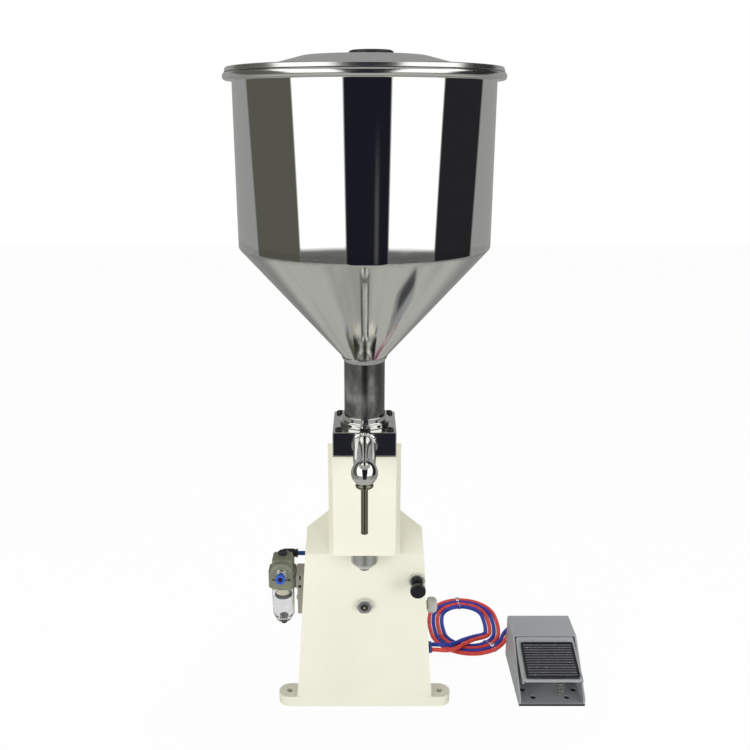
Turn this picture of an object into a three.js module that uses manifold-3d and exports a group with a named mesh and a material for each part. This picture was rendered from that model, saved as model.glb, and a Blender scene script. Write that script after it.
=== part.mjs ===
// Air-driven paste filling machine with a foot pedal.
// Millimetres, +Z up, +X to the viewer's right, +Y away from the viewer.
// The origin is the centre of the stand's underside. The hopper and the metering piston share one vertical
// axis in front of the column. The air cylinder stands behind them and drives them through a crosshead.

import * as THREE from "three";
import { mergeVertices } from "three/addons/utils/BufferGeometryUtils.js";
import Module from "manifold-3d";

const wasm = await Module();
wasm.setup();

// Clearances that every seat and fit is worked out from
const gap = 0.3;
const overrun = 2;

// Flat sides of small and large round pieces
const fewSides = 12;
const roundSides = 16;
const mediumSides = 24;
const largeSides = 40;

// Stand: a sheet casing that tapers upwards, folds back to a ridge and falls to the rear, and a column in it
const casingWall = 2;
const baseHalfWidth = 91.5;
const baseFront = -100;
const baseRear = 100;
const waistHeight = 175;
const waistHalfWidth = 80;
const panelFront = -92;
const foldRise = 53;
const shoulderRise = 25.4;
const ridgeRise = 17.3;
const eaveDrop = 10;
const eaveRise = 25;
const columnHalfWidth = 45.4;
const columnDepth = 85;
const columnTopFall = 36;
const deckRise = 116.3;
const deckLip = 6;
const earReach = 25.2;
const earRadius = 14.5;
const earThickness = 15;
const earHoleRadius = 4.5;
const coverMargin = 24;
const coverLap = 7;
const coverThickness = 1.5;
const bottomPlateThickness = 3;

// Head box on the front of the column
const hopperAxisY = -112;
const boxHalfWidth = 38;
const boxReach = 38;
const boxHeight = 130;
const boxWall = 2;
const windowHalfWidth = 30;
const windowMargin = 5;

// Valve block and the pieces on it
const blockSide = 74.5;
const blockHeight = 29.7;
const blockScrewHeadRadius = 4.5;
const blockScrewHeadHeight = 2.6;
const blockScrewShankRadius = 2.6;
const blockScrewSocketRadius = 2.25;
const blockScrewInset = 7.5;
const blockScrewDepth = 14;
const inletY = 8;
const inletChamberRadius = 8;
const inletBallRadius = 6;
const inletPortRadius = 4;
const outletY = -13;
const outletChamberRadius = 5.5;
const outletBallRadius = 3.9;
const outletPortRadius = 2.6;
const outletRoof = 5;
const springWire = 0.45;
const valveSpringCurls = 4;
const inletSpringRadius = 4.55;

// Hopper, its union ring and its lid
const hopperWall = 1.2;
const hopperRadius = 140.4;
const hopperCylinderHeight = 174;
const hopperConeHeight = 132;
const neckRadius = 24;
const neckLength = 77;
const beadReach = 9.6;
const beadHeight = 8;
const unionFlangeRadius = 30;
const unionFlangeHeight = 5;
const unionCollarRadius = 26.5;
const unionCollarHeight = 7;
const unionWeb = 3;
const lidInset = 2;
const lidSheet = 1.3;
const lidBandHeight = 3.5;
const lidRise = 3.2;
const lidStepRise = 8.6;
const lidStepOuterRadius = 100;
const lidStepInnerRadius = 67;
const handleRadius = 23.9;
const handleHeight = 5.8;
const handleOffset = 7;

// Spout, elbow and nozzle
const spoutRadius = 13;
const spoutBore = 7;
const spoutRise = 14.7;
const spoutReach = 117;
const elbowRadius = 14.7;
const elbowFlat = 7;
const nozzleNutRadius = 9.75;
const nozzleNutDrop = 16.5;
const nozzleNutHeight = 3.2;
const nozzleRadius = 3.9;
const nozzleBore = 2.8;
const nozzleLength = 56;

// Metering cylinder, piston and rod
const meterBore = 21;
const meterWall = 4;
const meterSkirt = 12.7;
const meterHead = 4;
const pistonHeight = 16;
const pistonClearance = 0.3;
const sealRadius = 1.6;
const pistonRodRadius = 7;
const rodEndDrop = 39;
const sealSqueeze = 0.1;
const stroke = 36;
const collarRadius = 17.8;
const collarDrop = 34;
const collarFlange = 3;
const collarFlangeLip = 1.7;

// Crosshead and air cylinder
const crossheadHalfWidth = 12;
const crossheadHeight = 12;
const crossheadSpare = 2.7;
const crossheadOverhang = 12;
const airAxisY = -37;
const airSide = 65;
const airHeight = 175;
const airBore = 25;
const airEndThickness = 12;
const airPistonHeight = 12;
const airRodRadius = 8;
const airThreadRadius = 5;
const airThreadRise = 5;
const footThickness = 4.7;
const bracketThickness = 5;
const bracketHalfWidth = 30;
const studDrop = 29.8;
const studRadius = 5;
const studShoulderRadius = 8;
const studReach = 8;
const studNutRadius = 10.5;
const studNutHeight = 6.5;

// Push-pull air valve in the panel, and the silencer in the right wall
const airValveX = 68;
const airValveRise = 15;
const airValveBarrel = 7.3;
const airValveInside = 32;
const airValveOutside = 10;
const airValveNeck = 6;
const airValveNutRadius = 11;
const airValveNutHeight = 6;
const airValveFlange = 3;
const airValveStem = 3;
const airValveTravel = 5;
const airValveKnobRadius = 10;
const airValveKnobHeight = 9;
const silencerY = -67;
const silencerZ = 137;
const silencerRadius = 10.5;
const silencerLength = 15;
const silencerThread = 6;

// Filter regulator on the left wall
const regulatorStandoff = 25.87;
const regulatorY = -70;
const regulatorSide = 36;
const regulatorDepth = 30;
const regulatorBottom = 171;
const regulatorHeight = 24;
const regulatorChamfer = 6;
const regulatorPortRise = 25.5;
const regulatorBossFlats = 28.4;
const regulatorBossReach = 20;
const bonnetWidth = 26;
const bonnetFront = 11;
const bonnetBack = 14;
const bonnetHeight = 16.5;
const regulatorKnobRadius = 6;
const regulatorKnobHeight = 4;
const regulatorKnobBack = 7.5;
const fittingThread = 4.6;
const fittingBody = 6.8;
const fittingBodyLength = 6;
const colletRadius = 5.4;
const colletLength = 8.5;
const elbowArmRadius = 6.2;
const elbowArmLength = 17.5;
const elbowStub = 16;
const bowlRadius = 15;
const bowlWall = 2.2;
const bowlStraight = 42;
const bowlTaper = 11;
const bowlFloorRadius = 9.5;
const bowlFloor = 4;
const drainRadius = 3.5;
const drainHeight = 5.5;
const elementRadius = 9.7;
const elementHeight = 12;
const baffleRadius = 11.5;
const baffleHeight = 5;
const wallPlateThickness = 5.5;
const wallPlateRise = 22;
const wallPlateDrop = 36;
const wallPlateDepth = 30;
const armFoot = 2;

// Hoses: outside radius, the height at which one lies on the floor, and the ports at both ends
const hoseRadius = 3;
const hoseBore = 2;
const hoseRest = 3.1;
const hosePortRadius = 5.4;
const hosePortReach = 8.4;
const hosePortThread = 4;
const hosePortInside = 12;
const hosePortZ = 22;
const redPortY = -4;
const bluePortY = 8.5;

// Coil of both hoses: half circles joined by short straight runs, wound outwards side by side
const coilX = 158.5;
const coilY = 88;
const coilStraightHalf = 17;
const coilInnerRadius = 26.5;
const coilSpacing = 6.6;
const coilClimb = 6.7;
const coilStepsPerLoop = 24;
const coilSides = 6;
const coilFirstStep = -5;
const coilSteps = 51;
const coilDescentSteps = 5;

// Foot pedal
const pedalX = 255;
const pedalFront = -99.5;
const pedalWidth = 90;
const pedalLength = 118.5;
const pedalHeight = 65;
const pedalWall = 2.5;
const pedalBase = 3;
const pedalFrontRise = 10;
const hoodLength = 50;
const pedalScrewRadius = 4;
const pedalScrewX = 23.1;
const pedalScrewY = 14.5;
const pedalSlotRadius = 4.2;
const pedalSlotX = 35.8;
const pedalSlotY = 30.5;
const treadleSlope = 17.4;
const treadleWidth = 82;
const treadleSheet = 2;
const treadleForward = 63;
const treadleBack = 6.9;
const treadleLift = 5.1;
const treadleLip = 7.1;
const pivotSetback = 5.5;
const pivotDrop = 10;
const pinRadius = 2;
const padWidth = 73;
const padLength = 58;
const padStart = 4;
const padThickness = 1.6;
const padRibs = 13;
const padRibHeight = 1.4;
const padRibShare = 0.55;
const pedalValveX = 14;
const pedalValveWidth = 40;
const pedalValveHeight = 27;
const pedalValveFront = 42;
const plungerRadius = 2;
const plungerArm = 16;
const plungerTravel = 3.8;
const plungerDepth = 10;
const pedalSpringX = 15.5;
const pedalSpringY = 18.5;
const pedalSpringRadius = 4.5;
const pedalSpringWire = 0.7;
const pedalSpringCurls = 7;
const plungerClearance = 0.45;
const pedalPortPitch = 16;
const pedalPortZ = 18;
const pedalPortReach = 12;

// Places that follow from the sizes above
const foldHeight = waistHeight + foldRise;
const shoulderHeight = foldHeight + shoulderRise;
const ridgeHeight = shoulderHeight + ridgeRise;
const deckHeight = ridgeHeight + deckRise;
const columnTop = deckHeight - deckLip;
const columnRear = panelFront + columnDepth;
const columnFoot = waistHeight;
const eaveHeight = waistHeight - eaveDrop;
const wallTaper = (baseHalfWidth - waistHalfWidth) / waistHeight;
const airValveZ = waistHeight + airValveRise;
const boxBottom = deckHeight - boxHeight;
const blockBottom = deckHeight + gap;
const blockTop = blockBottom + blockHeight;
const neckBottom = blockTop + gap + unionWeb + gap;
const coneBottom = neckBottom + neckLength;
const cylinderBottom = coneBottom + hopperConeHeight;
const rimBottom = cylinderBottom + hopperCylinderHeight;
const rimTop = rimBottom + beadHeight;
const beadRadius = hopperRadius + beadReach;
const spoutZ = blockBottom + spoutRise;
const meterTop = blockBottom - gap;
const pistonTop = meterTop - meterHead - pistonClearance;
const pistonBottom = pistonTop - pistonHeight;
const meterBottom = pistonBottom - stroke - meterSkirt;
const collarSeat = boxBottom + boxWall + gap;
const crossheadBottom = collarSeat + collarFlange + stroke + crossheadSpare;
const crossheadTop = crossheadBottom + crossheadHeight;
const airBottom = bottomPlateThickness + gap + footThickness + gap;
const airTop = airBottom + airHeight;
const airPistonTop = airTop - airEndThickness - gap;
const studHeight = airTop - studDrop;
const regulatorTop = regulatorBottom + regulatorHeight;
const regulatorPortZ = regulatorBottom + regulatorPortRise;
const coilPitch = 2 * coilSpacing;

// Finishes, one material each
const cream = { color: 0xefeede, roughness: 0.45, metalness: 0 };
const mirror = { color: 0xc9c9c6, roughness: 0.12, metalness: 1 };
const satin = { color: 0xb4b5b3, roughness: 0.35, metalness: 1 };
const zinc = { color: 0xa8a69c, roughness: 0.5, metalness: 1 };
const black = { color: 0x17181b, roughness: 0.5, metalness: 0 };
const rubber = { color: 0x1c1e22, roughness: 0.8, metalness: 0 };
const khaki = { color: 0x82856b, roughness: 0.5, metalness: 0 };
const clear = { color: 0xc9cdd0, roughness: 0.2, metalness: 0, transparent: true, opacity: 0.6 };
const ivory = { color: 0xd8cdb0, roughness: 0.7, metalness: 0 };
const red = { color: 0xcd4b46, roughness: 0.35, metalness: 0 };
const blue = { color: 0x2d3796, roughness: 0.35, metalness: 0 };
const collet = { color: 0x3c5abe, roughness: 0.4, metalness: 0 };
const grey = { color: 0x919394, roughness: 0.45, metalness: 0.2 };
const pale = { color: 0xd9d9cf, roughness: 0.6, metalness: 0 };

// Solids: a closed three.js geometry becomes a solid for cuts and joins, and comes back as a geometry
function solid(geometry) {
  const bare = geometry.clone();
  bare.deleteAttribute("normal");
  bare.deleteAttribute("uv");
  const merged = mergeVertices(bare, 1e-4);
  const corners = merged.index.array;
  const kept = [];
  for (let i = 0; i < corners.length; i += 3) {
    const [a, b, c] = [corners[i], corners[i + 1], corners[i + 2]];
    if (a !== b && b !== c && c !== a) kept.push(a, b, c);
  }
  const mesh = new wasm.Mesh({
    numProp: 3,
    vertProperties: merged.attributes.position.array,
    triVerts: new Uint32Array(kept),
  });
  return new wasm.Manifold(mesh);
}

function geometry(body) {
  const { vertProperties, triVerts } = body.getMesh();
  return new THREE.BufferGeometry()
    .setAttribute("position", new THREE.BufferAttribute(vertProperties, 3))
    .setIndex(new THREE.BufferAttribute(triVerts, 1))
    .toNonIndexed();
}

const cut = (body, ...tools) => tools.reduce((left, tool) => left.subtract(tool), body);
const join = (body, ...others) => others.reduce((left, other) => left.add(other), body);

// A box between two corners
function block(low, high) {
  const size = high.map((value, axis) => value - low[axis]);
  const middle = high.map((value, axis) => (value + low[axis]) / 2);
  return solid(new THREE.BoxGeometry(...size).translate(...middle));
}

// A profile of [radius, height] points turned about +Z
function turned(profile, sides = roundSides) {
  const area = profile.reduce((sum, [r, z], i) => {
    const [nextR, nextZ] = profile[(i + 1) % profile.length];
    return sum + r * nextZ - nextR * z;
  }, 0);
  const points = profile.map(([r, z]) => new THREE.Vector2(r, z));
  if (area < 0) points.reverse();
  const closed = profile.some(([r]) => r > 0) && profile[0][0] > 0;
  if (closed) points.push(points[0].clone());
  return solid(new THREE.LatheGeometry(points, sides).rotateX(Math.PI / 2));
}

// A round bar from one point to another
function bar(radius, start, end, sides = roundSides) {
  const from = new THREE.Vector3(...start);
  const along = new THREE.Vector3(...end).sub(from);
  const upright = new THREE.Vector3(0, 1, 0);
  const turn = new THREE.Quaternion().setFromUnitVectors(upright, along.clone().normalize());
  const shape = new THREE.CylinderGeometry(radius, radius, along.length(), sides).applyQuaternion(turn);
  const middle = from.addScaledVector(along, 0.5);
  return solid(shape.translate(middle.x, middle.y, middle.z));
}

// An outline of [y, z] points drawn out along X, from one side to the other
function sideways(outline, halfWidth) {
  const shape = new THREE.Shape(outline.map(([y, z]) => new THREE.Vector2(y, z)));
  const drawn = new THREE.ExtrudeGeometry(shape, { depth: 2 * halfWidth, bevelEnabled: false });
  drawn.translate(0, 0, -halfWidth);
  const axes = new THREE.Matrix4().makeBasis(
    new THREE.Vector3(0, 1, 0),
    new THREE.Vector3(0, 0, 1),
    new THREE.Vector3(1, 0, 0),
  );
  return solid(drawn.applyMatrix4(axes));
}

// The smallest shape round some corners, each given once and mirrored across the YZ plane
function mirroredHull(corners) {
  return wasm.Manifold.hull(corners.flatMap(([x, y, z]) => [[x, y, z], [-x, y, z]]));
}

// A tube of a few flat sides through points that lie nearly level, with closed ends
function tube(points, radius, sides) {
  const positions = [];
  const faces = [];
  const up = new THREE.Vector3(0, 0, 1);
  points.forEach((point, i) => {
    const before = points[Math.max(i - 1, 0)];
    const after = points[Math.min(i + 1, points.length - 1)];
    const forward = after.clone().sub(before).normalize();
    const side = new THREE.Vector3().crossVectors(forward, up).normalize();
    const rise = new THREE.Vector3().crossVectors(side, forward);
    for (let k = 0; k < sides; k += 1) {
      const angle = (2 * Math.PI * k) / sides + Math.PI / 2;
      const corner = point.clone();
      corner.addScaledVector(side, radius * Math.cos(angle));
      corner.addScaledVector(rise, radius * Math.sin(angle));
      positions.push(corner.x, corner.y, corner.z);
    }
  });
  for (let ring = 0; ring < points.length - 1; ring += 1) {
    for (let k = 0; k < sides; k += 1) {
      const a = sides * ring + k;
      const b = sides * ring + ((k + 1) % sides);
      faces.push(a, a + sides, b, b, a + sides, b + sides);
    }
  }
  const last = sides * (points.length - 1);
  for (let k = 1; k < sides - 1; k += 1) {
    faces.push(0, k, k + 1);
    faces.push(last, last + k + 1, last + k);
  }
  const shell = new THREE.BufferGeometry();
  shell.setAttribute("position", new THREE.Float32BufferAttribute(positions, 3));
  shell.setIndex(faces);
  return shell;
}

// A compression spring that stands on z = bottom
function spring(radius, wire, bottom, top, curls) {
  const stepsPerCurl = 8;
  const wireSides = 4;
  const steps = stepsPerCurl * curls;
  const points = [];
  for (let i = 0; i <= steps; i += 1) {
    const angle = (2 * Math.PI * i) / stepsPerCurl;
    const z = bottom + wire + ((top - bottom - 2 * wire) * i) / steps;
    points.push(new THREE.Vector3(radius * Math.cos(angle), radius * Math.sin(angle), z));
  }
  return solid(tube(points, wire, wireSides));
}

const assembly = new THREE.Group();

function place(name, body, finish, parent = assembly) {
  const shape = body instanceof THREE.BufferGeometry ? body : geometry(body);
  shape.computeVertexNormals();
  const mesh = new THREE.Mesh(shape, new THREE.MeshStandardMaterial(finish));
  mesh.name = name;
  parent.add(mesh);
  return mesh;
}

function group(x, y, z, parent = assembly) {
  const holder = new THREE.Group();
  holder.position.set(x, y, z);
  parent.add(holder);
  return holder;
}

// Half the casing's outside width, and its front face, at a height
function casingAt(z) {
  const lean = (panelFront - baseFront) * Math.min(z / waistHeight, 1);
  return { half: baseHalfWidth - wallTaper * z, front: baseFront + lean };
}

// The casing's outline moved inwards by an inset: a taper below the waist, then fold, ridge and eaves
function taperedBody(inset, floor) {
  const side = (z) => casingAt(z).half - inset;
  const rear = baseRear - inset;
  const dropShare = 1.25;
  const drop = dropShare * inset;
  const waist = [side(waistHeight), panelFront + inset, waistHeight];
  const eave = [side(eaveHeight), rear, eaveHeight - inset / 2];
  const heel = [side(0), rear, floor];
  const lower = mirroredHull([[side(0), baseFront + inset, floor], heel, waist, eave]);
  const upper = mirroredHull([
    heel,
    waist,
    [side(foldHeight), panelFront + inset, foldHeight - inset / 2],
    [side(shoulderHeight), panelFront + shoulderRise, shoulderHeight - drop],
    [columnHalfWidth, panelFront + shoulderRise + ridgeRise, ridgeHeight - drop],
    [columnHalfWidth, rear, eaveHeight + eaveRise - inset / 2],
    eave,
  ]);
  return join(lower, upper);
}

function column(inset, foot) {
  const side = columnHalfWidth - inset;
  const front = panelFront + inset;
  const rear = columnRear - inset;
  return mirroredHull([
    [side, front, foot],
    [side, rear, foot],
    [side, front, columnTop - inset],
    [side, rear, columnTop - columnTopFall - inset],
  ]);
}

const casingOutline = join(taperedBody(-gap, 0), column(-gap, columnFoot));
const clearOfCasing = (body, x = 0, y = 0, z = 0) => body.subtract(casingOutline.translate([-x, -y, -z]));

// Casing, bottom plate and rear cover
function casingInside(shrink) {
  const inset = casingWall + shrink;
  return join(taperedBody(inset, -overrun), column(inset, columnFoot - overrun));
}

function ear(side) {
  const reach = side * (baseHalfWidth + earReach - earRadius);
  const root = side * (waistHalfWidth + casingWall);
  const y = baseFront + earRadius;
  const tip = bar(earRadius, [reach, y, 0], [reach, y, earThickness]);
  const web = block(
    [Math.min(root, reach), y - earRadius, 0],
    [Math.max(root, reach), y + earRadius, earThickness],
  );
  return { body: join(tip, web), x: reach, y };
}

const airLineZ = regulatorPortZ;
const airLineY = regulatorY + regulatorBossReach + gap + elbowStub;

function makeCasing() {
  const outer = join(taperedBody(0, 0), column(0, columnFoot));
  const ears = [-1, 1].map(ear);
  let shell = join(outer, ...ears.map((lug) => lug.body));
  shell = cut(shell, casingInside(0));
  const earHole = (lug) =>
    bar(earHoleRadius, [lug.x, lug.y, -overrun], [lug.x, lug.y, earThickness + overrun]);
  shell = cut(shell, ...ears.map(earHole));
  const opening = waistHalfWidth - coverMargin;
  const rearWindow = block(
    [-opening, baseRear - casingWall - overrun, coverMargin],
    [opening, baseRear + overrun, eaveHeight - coverMargin],
  );
  const panelInside = panelFront + casingWall + overrun;
  const crossheadWindow = block(
    [-windowHalfWidth, panelFront - overrun, boxBottom + windowMargin],
    [windowHalfWidth, panelInside, columnTop - casingWall - windowMargin],
  );
  const studHole = bar(
    studRadius + gap,
    [0, casingAt(studHeight).front - overrun, studHeight],
    [0, panelInside, studHeight],
  );
  const valveHole = bar(
    airValveBarrel + gap,
    [airValveX, panelFront - overrun, airValveZ],
    [airValveX, panelInside, airValveZ],
  );
  const sideHole = (side, radius, y, z) => {
    const wall = side * casingAt(z).half;
    const slack = side * (casingWall + overrun);
    return bar(radius, [wall - slack, y, z], [wall + slack, y, z]);
  };
  const meterNotch = bar(
    meterBore + meterWall + gap,
    [0, hopperAxisY, crossheadBottom],
    [0, hopperAxisY, deckHeight + overrun],
    mediumSides,
  );
  return cut(
    shell,
    rearWindow,
    crossheadWindow,
    meterNotch,
    studHole,
    valveHole,
    sideHole(1, silencerThread + gap, silencerY, silencerZ),
    sideHole(1, hosePortThread + gap, redPortY, hosePortZ),
    sideHole(1, hosePortThread + gap, bluePortY, hosePortZ),
    sideHole(-1, hoseRadius + gap, airLineY, airLineZ),
  );
}

place("casing", makeCasing(), cream);

const plateBlank = block(
  [-baseHalfWidth, baseFront, 0],
  [baseHalfWidth, baseRear, bottomPlateThickness],
);
place("bottom_plate", plateBlank.intersect(casingInside(gap)), zinc);

const coverHalf = waistHalfWidth - coverMargin + coverLap;
const rearCover = block(
  [-coverHalf, baseRear + gap, coverMargin - coverLap],
  [coverHalf, baseRear + gap + coverThickness, eaveHeight - coverMargin + coverLap],
);
place("rear_cover", rearCover, cream);

// Head box: five walls, open towards the column
const head = group(0, hopperAxisY, 0);
const boxBack = panelFront - hopperAxisY - gap;

function makeHeadBox() {
  const outer = block([-boxHalfWidth, -boxReach, boxBottom], [boxHalfWidth, boxBack, deckHeight]);
  const inner = block(
    [-boxHalfWidth + boxWall, -boxReach + boxWall, boxBottom + boxWall],
    [boxHalfWidth - boxWall, boxBack + overrun, deckHeight - boxWall],
  );
  const meterHole = bar(
    meterBore + meterWall + gap,
    [0, 0, deckHeight - boxWall - overrun],
    [0, 0, deckHeight + overrun],
    mediumSides,
  );
  const collarHole = bar(
    collarRadius + gap,
    [0, 0, boxBottom - overrun],
    [0, 0, boxBottom + boxWall + overrun],
  );
  return cut(outer, inner, meterHole, collarHole);
}

place("head_box", makeHeadBox(), cream, head);

// Valve block with its two ball chambers and the passage to the spout
const screwOffset = blockSide / 2 - blockScrewInset;
const screwPlaces = [
  [-screwOffset, -screwOffset],
  [screwOffset, -screwOffset],
  [screwOffset, screwOffset],
  [-screwOffset, screwOffset],
];

function makeValveBlock() {
  const half = blockSide / 2;
  const body = block([-half, -half, blockBottom], [half, half, blockTop]);
  const below = blockBottom - overrun;
  const inlet = bar(inletChamberRadius, [0, inletY, below], [0, inletY, blockTop + overrun]);
  const outlet = bar(outletChamberRadius, [0, outletY, below], [0, outletY, blockTop - outletRoof]);
  const passage = bar(outletChamberRadius - gap, [0, -half - overrun, spoutZ], [0, outletY, spoutZ]);
  const screwFloor = blockTop - blockScrewDepth - gap;
  const screwHoles = screwPlaces.map(([x, y]) =>
    bar(blockScrewShankRadius + gap, [x, y, screwFloor], [x, y, blockTop + overrun], fewSides),
  );
  return cut(body, inlet, outlet, passage, ...screwHoles);
}

place("valve_block", makeValveBlock(), mirror, head);

screwPlaces.forEach(([x, y], i) => {
  const headTop = blockTop + gap + blockScrewHeadHeight;
  const screw = turned(
    [
      [0, blockTop - blockScrewDepth],
      [blockScrewShankRadius, blockTop - blockScrewDepth],
      [blockScrewShankRadius, blockTop + gap],
      [blockScrewHeadRadius, blockTop + gap],
      [blockScrewHeadRadius, headTop],
      [0, headTop],
    ],
    fewSides,
  );
  const socketFloor = headTop - blockScrewHeadHeight / 2;
  const hexagon = bar(blockScrewSocketRadius, [0, 0, socketFloor], [0, 0, headTop + overrun], 6);
  const mesh = place(`block_screw_${i + 1}`, cut(screw, hexagon), satin, head);
  mesh.position.set(x, y, 0);
});

// Check balls and their springs: the inlet ball seats upwards, the outlet ball seats downwards
function ball(radius) {
  return solid(new THREE.SphereGeometry(radius, 12, 8));
}

const unionWebBottom = blockTop + gap;
const inletSeatDrop = Math.sqrt((inletBallRadius + gap) ** 2 - inletPortRadius ** 2);
const inletBallZ = unionWebBottom - inletSeatDrop;
const inletBall = place("inlet_ball", ball(inletBallRadius), satin, head);
inletBall.position.set(0, inletY, inletBallZ);
const inletSpringTop =
  inletBallZ - Math.sqrt(inletBallRadius ** 2 - inletSpringRadius ** 2) - springWire - gap;
const inletSpringSeat = meterTop + gap;
const inletSpring = place(
  "inlet_spring",
  spring(inletSpringRadius, springWire, inletSpringSeat, inletSpringTop, valveSpringCurls),
  satin,
  head,
);
inletSpring.position.set(0, inletY, 0);

const outletSeatRise = Math.sqrt((outletBallRadius + gap) ** 2 - outletPortRadius ** 2);
const outletBallZ = meterTop + outletSeatRise;
const outletBall = place("outlet_ball", ball(outletBallRadius), satin, head);
outletBall.position.set(0, outletY, outletBallZ);
const outletSpringRadius = outletPortRadius;
const outletSpringTop = blockTop - outletRoof - gap;
const outletSpringBottom =
  outletBallZ + Math.sqrt(outletBallRadius ** 2 - outletSpringRadius ** 2) + springWire + gap;
const outletSpring = place(
  "outlet_spring",
  spring(outletSpringRadius, springWire, outletSpringBottom, outletSpringTop, valveSpringCurls),
  satin,
  head,
);
outletSpring.position.set(0, outletY, 0);

// Union ring: a flange and a collar round the hopper's neck, with the inlet seat in its web
const unionRing = turned(
  [
    [inletPortRadius, blockTop + gap],
    [unionFlangeRadius, blockTop + gap],
    [unionFlangeRadius, blockTop + gap + unionFlangeHeight],
    [unionCollarRadius, blockTop + gap + unionFlangeHeight],
    [unionCollarRadius, blockTop + gap + unionFlangeHeight + unionCollarHeight],
    [neckRadius + gap, blockTop + gap + unionFlangeHeight + unionCollarHeight],
    [neckRadius + gap, blockTop + gap + unionWeb],
    [inletPortRadius, blockTop + gap + unionWeb],
  ],
  mediumSides,
);

function makeUnionRing() {
  const middle = join(unionRing, bar(inletPortRadius * 2, [0, 0, blockTop + gap], [0, 0, neckBottom - gap]));
  const port = bar(inletPortRadius, [0, inletY, blockTop - overrun], [0, inletY, neckBottom + overrun]);
  return cut(middle, port);
}

place("union_ring", makeUnionRing(), mirror, head);

// Hopper: neck, cone and cylinder of one sheet with a rolled rim
function makeHopper() {
  const inside = hopperRadius - hopperWall;
  const roll = beadHeight / 4;
  return turned(
    [
      [neckRadius - hopperWall, neckBottom],
      [neckRadius, neckBottom],
      [neckRadius, coneBottom],
      [hopperRadius, cylinderBottom],
      [hopperRadius, rimBottom],
      [beadRadius - roll, rimBottom],
      [beadRadius, rimBottom + roll],
      [beadRadius, rimTop - roll],
      [beadRadius - roll, rimTop],
      [hopperRadius, rimTop],
      [inside, rimTop - roll],
      [inside, cylinderBottom],
      [neckRadius - hopperWall, coneBottom],
    ],
    largeSides,
  );
}

place("hopper", makeHopper(), mirror, head);

// Lid: a pressed sheet with a band, a gentle slope, a step and a flat middle
function makeLid() {
  const rim = beadRadius - lidInset;
  const seat = rimTop + gap;
  const slopeFoot = seat + lidBandHeight + lidSheet;
  const stepFoot = slopeFoot + lidRise;
  const crown = stepFoot + lidStepRise;
  const soften = lidSheet * 2;
  return turned(
    [
      [0, crown],
      [lidStepInnerRadius, crown],
      [lidStepOuterRadius, stepFoot],
      [rim - soften, slopeFoot],
      [rim, slopeFoot - lidSheet],
      [rim, seat],
      [rim - lidSheet, seat],
      [rim - lidSheet, slopeFoot - soften],
      [lidStepOuterRadius, stepFoot - lidSheet],
      [lidStepInnerRadius, crown - lidSheet],
      [0, crown - lidSheet],
    ],
    largeSides,
  );
}

const lid = group(0, hopperAxisY, 0);
place("hopper_lid", makeLid(), mirror, lid);
const lidCrown = rimTop + gap + lidBandHeight + lidSheet + lidRise + lidStepRise;
const handleEdge = handleHeight / 3;
const handle = turned([
  [0, lidCrown + gap],
  [handleRadius - handleEdge, lidCrown + gap],
  [handleRadius, lidCrown + gap + handleEdge],
  [handleRadius, lidCrown + gap + handleHeight - handleEdge],
  [handleRadius - handleEdge, lidCrown + gap + handleHeight],
  [0, lidCrown + gap + handleHeight],
]);
const handleMesh = place("lid_handle", handle, black, lid);
handleMesh.position.set(handleOffset, 0, 0);

// Spout tube, elbow, nut and nozzle in front of the block
const spoutStart = -blockSide / 2 - gap;
const elbowFace = -spoutReach + elbowFlat;
const spoutTube = turned([
  [spoutBore, 0],
  [spoutRadius, 0],
  [spoutRadius, spoutStart - elbowFace - gap],
  [spoutBore, spoutStart - elbowFace - gap],
]);
const spoutMesh = place("spout_tube", spoutTube, mirror, head);
spoutMesh.rotation.x = Math.PI / 2;
spoutMesh.position.set(0, spoutStart, spoutZ);

const nutBottom = spoutZ - nozzleNutDrop;
const nutTop = nutBottom + nozzleNutHeight;

function makeElbow() {
  const sphere = solid(new THREE.SphereGeometry(elbowRadius, 20, 12).rotateX(Math.PI / 2));
  const wide = 2 * elbowRadius;
  const flat = block([-wide, elbowFlat, -wide], [wide, wide, wide]);
  const across = bar(spoutBore, [0, 0, 0], [0, elbowRadius + overrun, 0]);
  const down = bar(nozzleRadius + gap, [0, 0, 0], [0, 0, -elbowRadius - overrun]);
  const socket = bar(nozzleNutRadius + gap, [0, 0, nutTop + gap - spoutZ], [0, 0, -elbowRadius - overrun]);
  return cut(sphere, flat, across, down, socket);
}

const elbowMesh = place("spout_elbow", makeElbow(), mirror, head);
elbowMesh.position.set(0, -spoutReach, spoutZ);

const nozzleGroup = group(0, -spoutReach, 0, head);
const nozzleNut = turned([
  [nozzleRadius + gap, nutBottom],
  [nozzleNutRadius, nutBottom],
  [nozzleNutRadius, nutTop],
  [nozzleRadius + gap, nutTop],
]);
place("nozzle_nut", nozzleNut, satin, nozzleGroup);
const nozzleTop = spoutZ - spoutBore - gap;
const nozzle = turned(
  [
    [nozzleBore, nutBottom - nozzleLength],
    [nozzleRadius, nutBottom - nozzleLength],
    [nozzleRadius, nozzleTop],
    [nozzleBore, nozzleTop],
  ],
  fewSides,
);
place("nozzle", nozzle, satin, nozzleGroup);

// Metering cylinder with a ported head, its piston, seal and rod, and the collar that guides the rod
function makeMeterCylinder() {
  const outside = meterBore + meterWall;
  const sleeve = turned(
    [
      [0, meterTop - meterHead],
      [meterBore, meterTop - meterHead],
      [meterBore, meterBottom],
      [outside, meterBottom],
      [outside, meterTop],
      [0, meterTop],
    ],
    mediumSides,
  );
  const port = (radius, y) => bar(radius, [0, y, meterTop - meterHead - overrun], [0, y, meterTop + overrun]);
  return cut(sleeve, port(inletPortRadius, inletY), port(outletPortRadius, outletY));
}

place("metering_cylinder", makeMeterCylinder(), satin, head);

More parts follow.
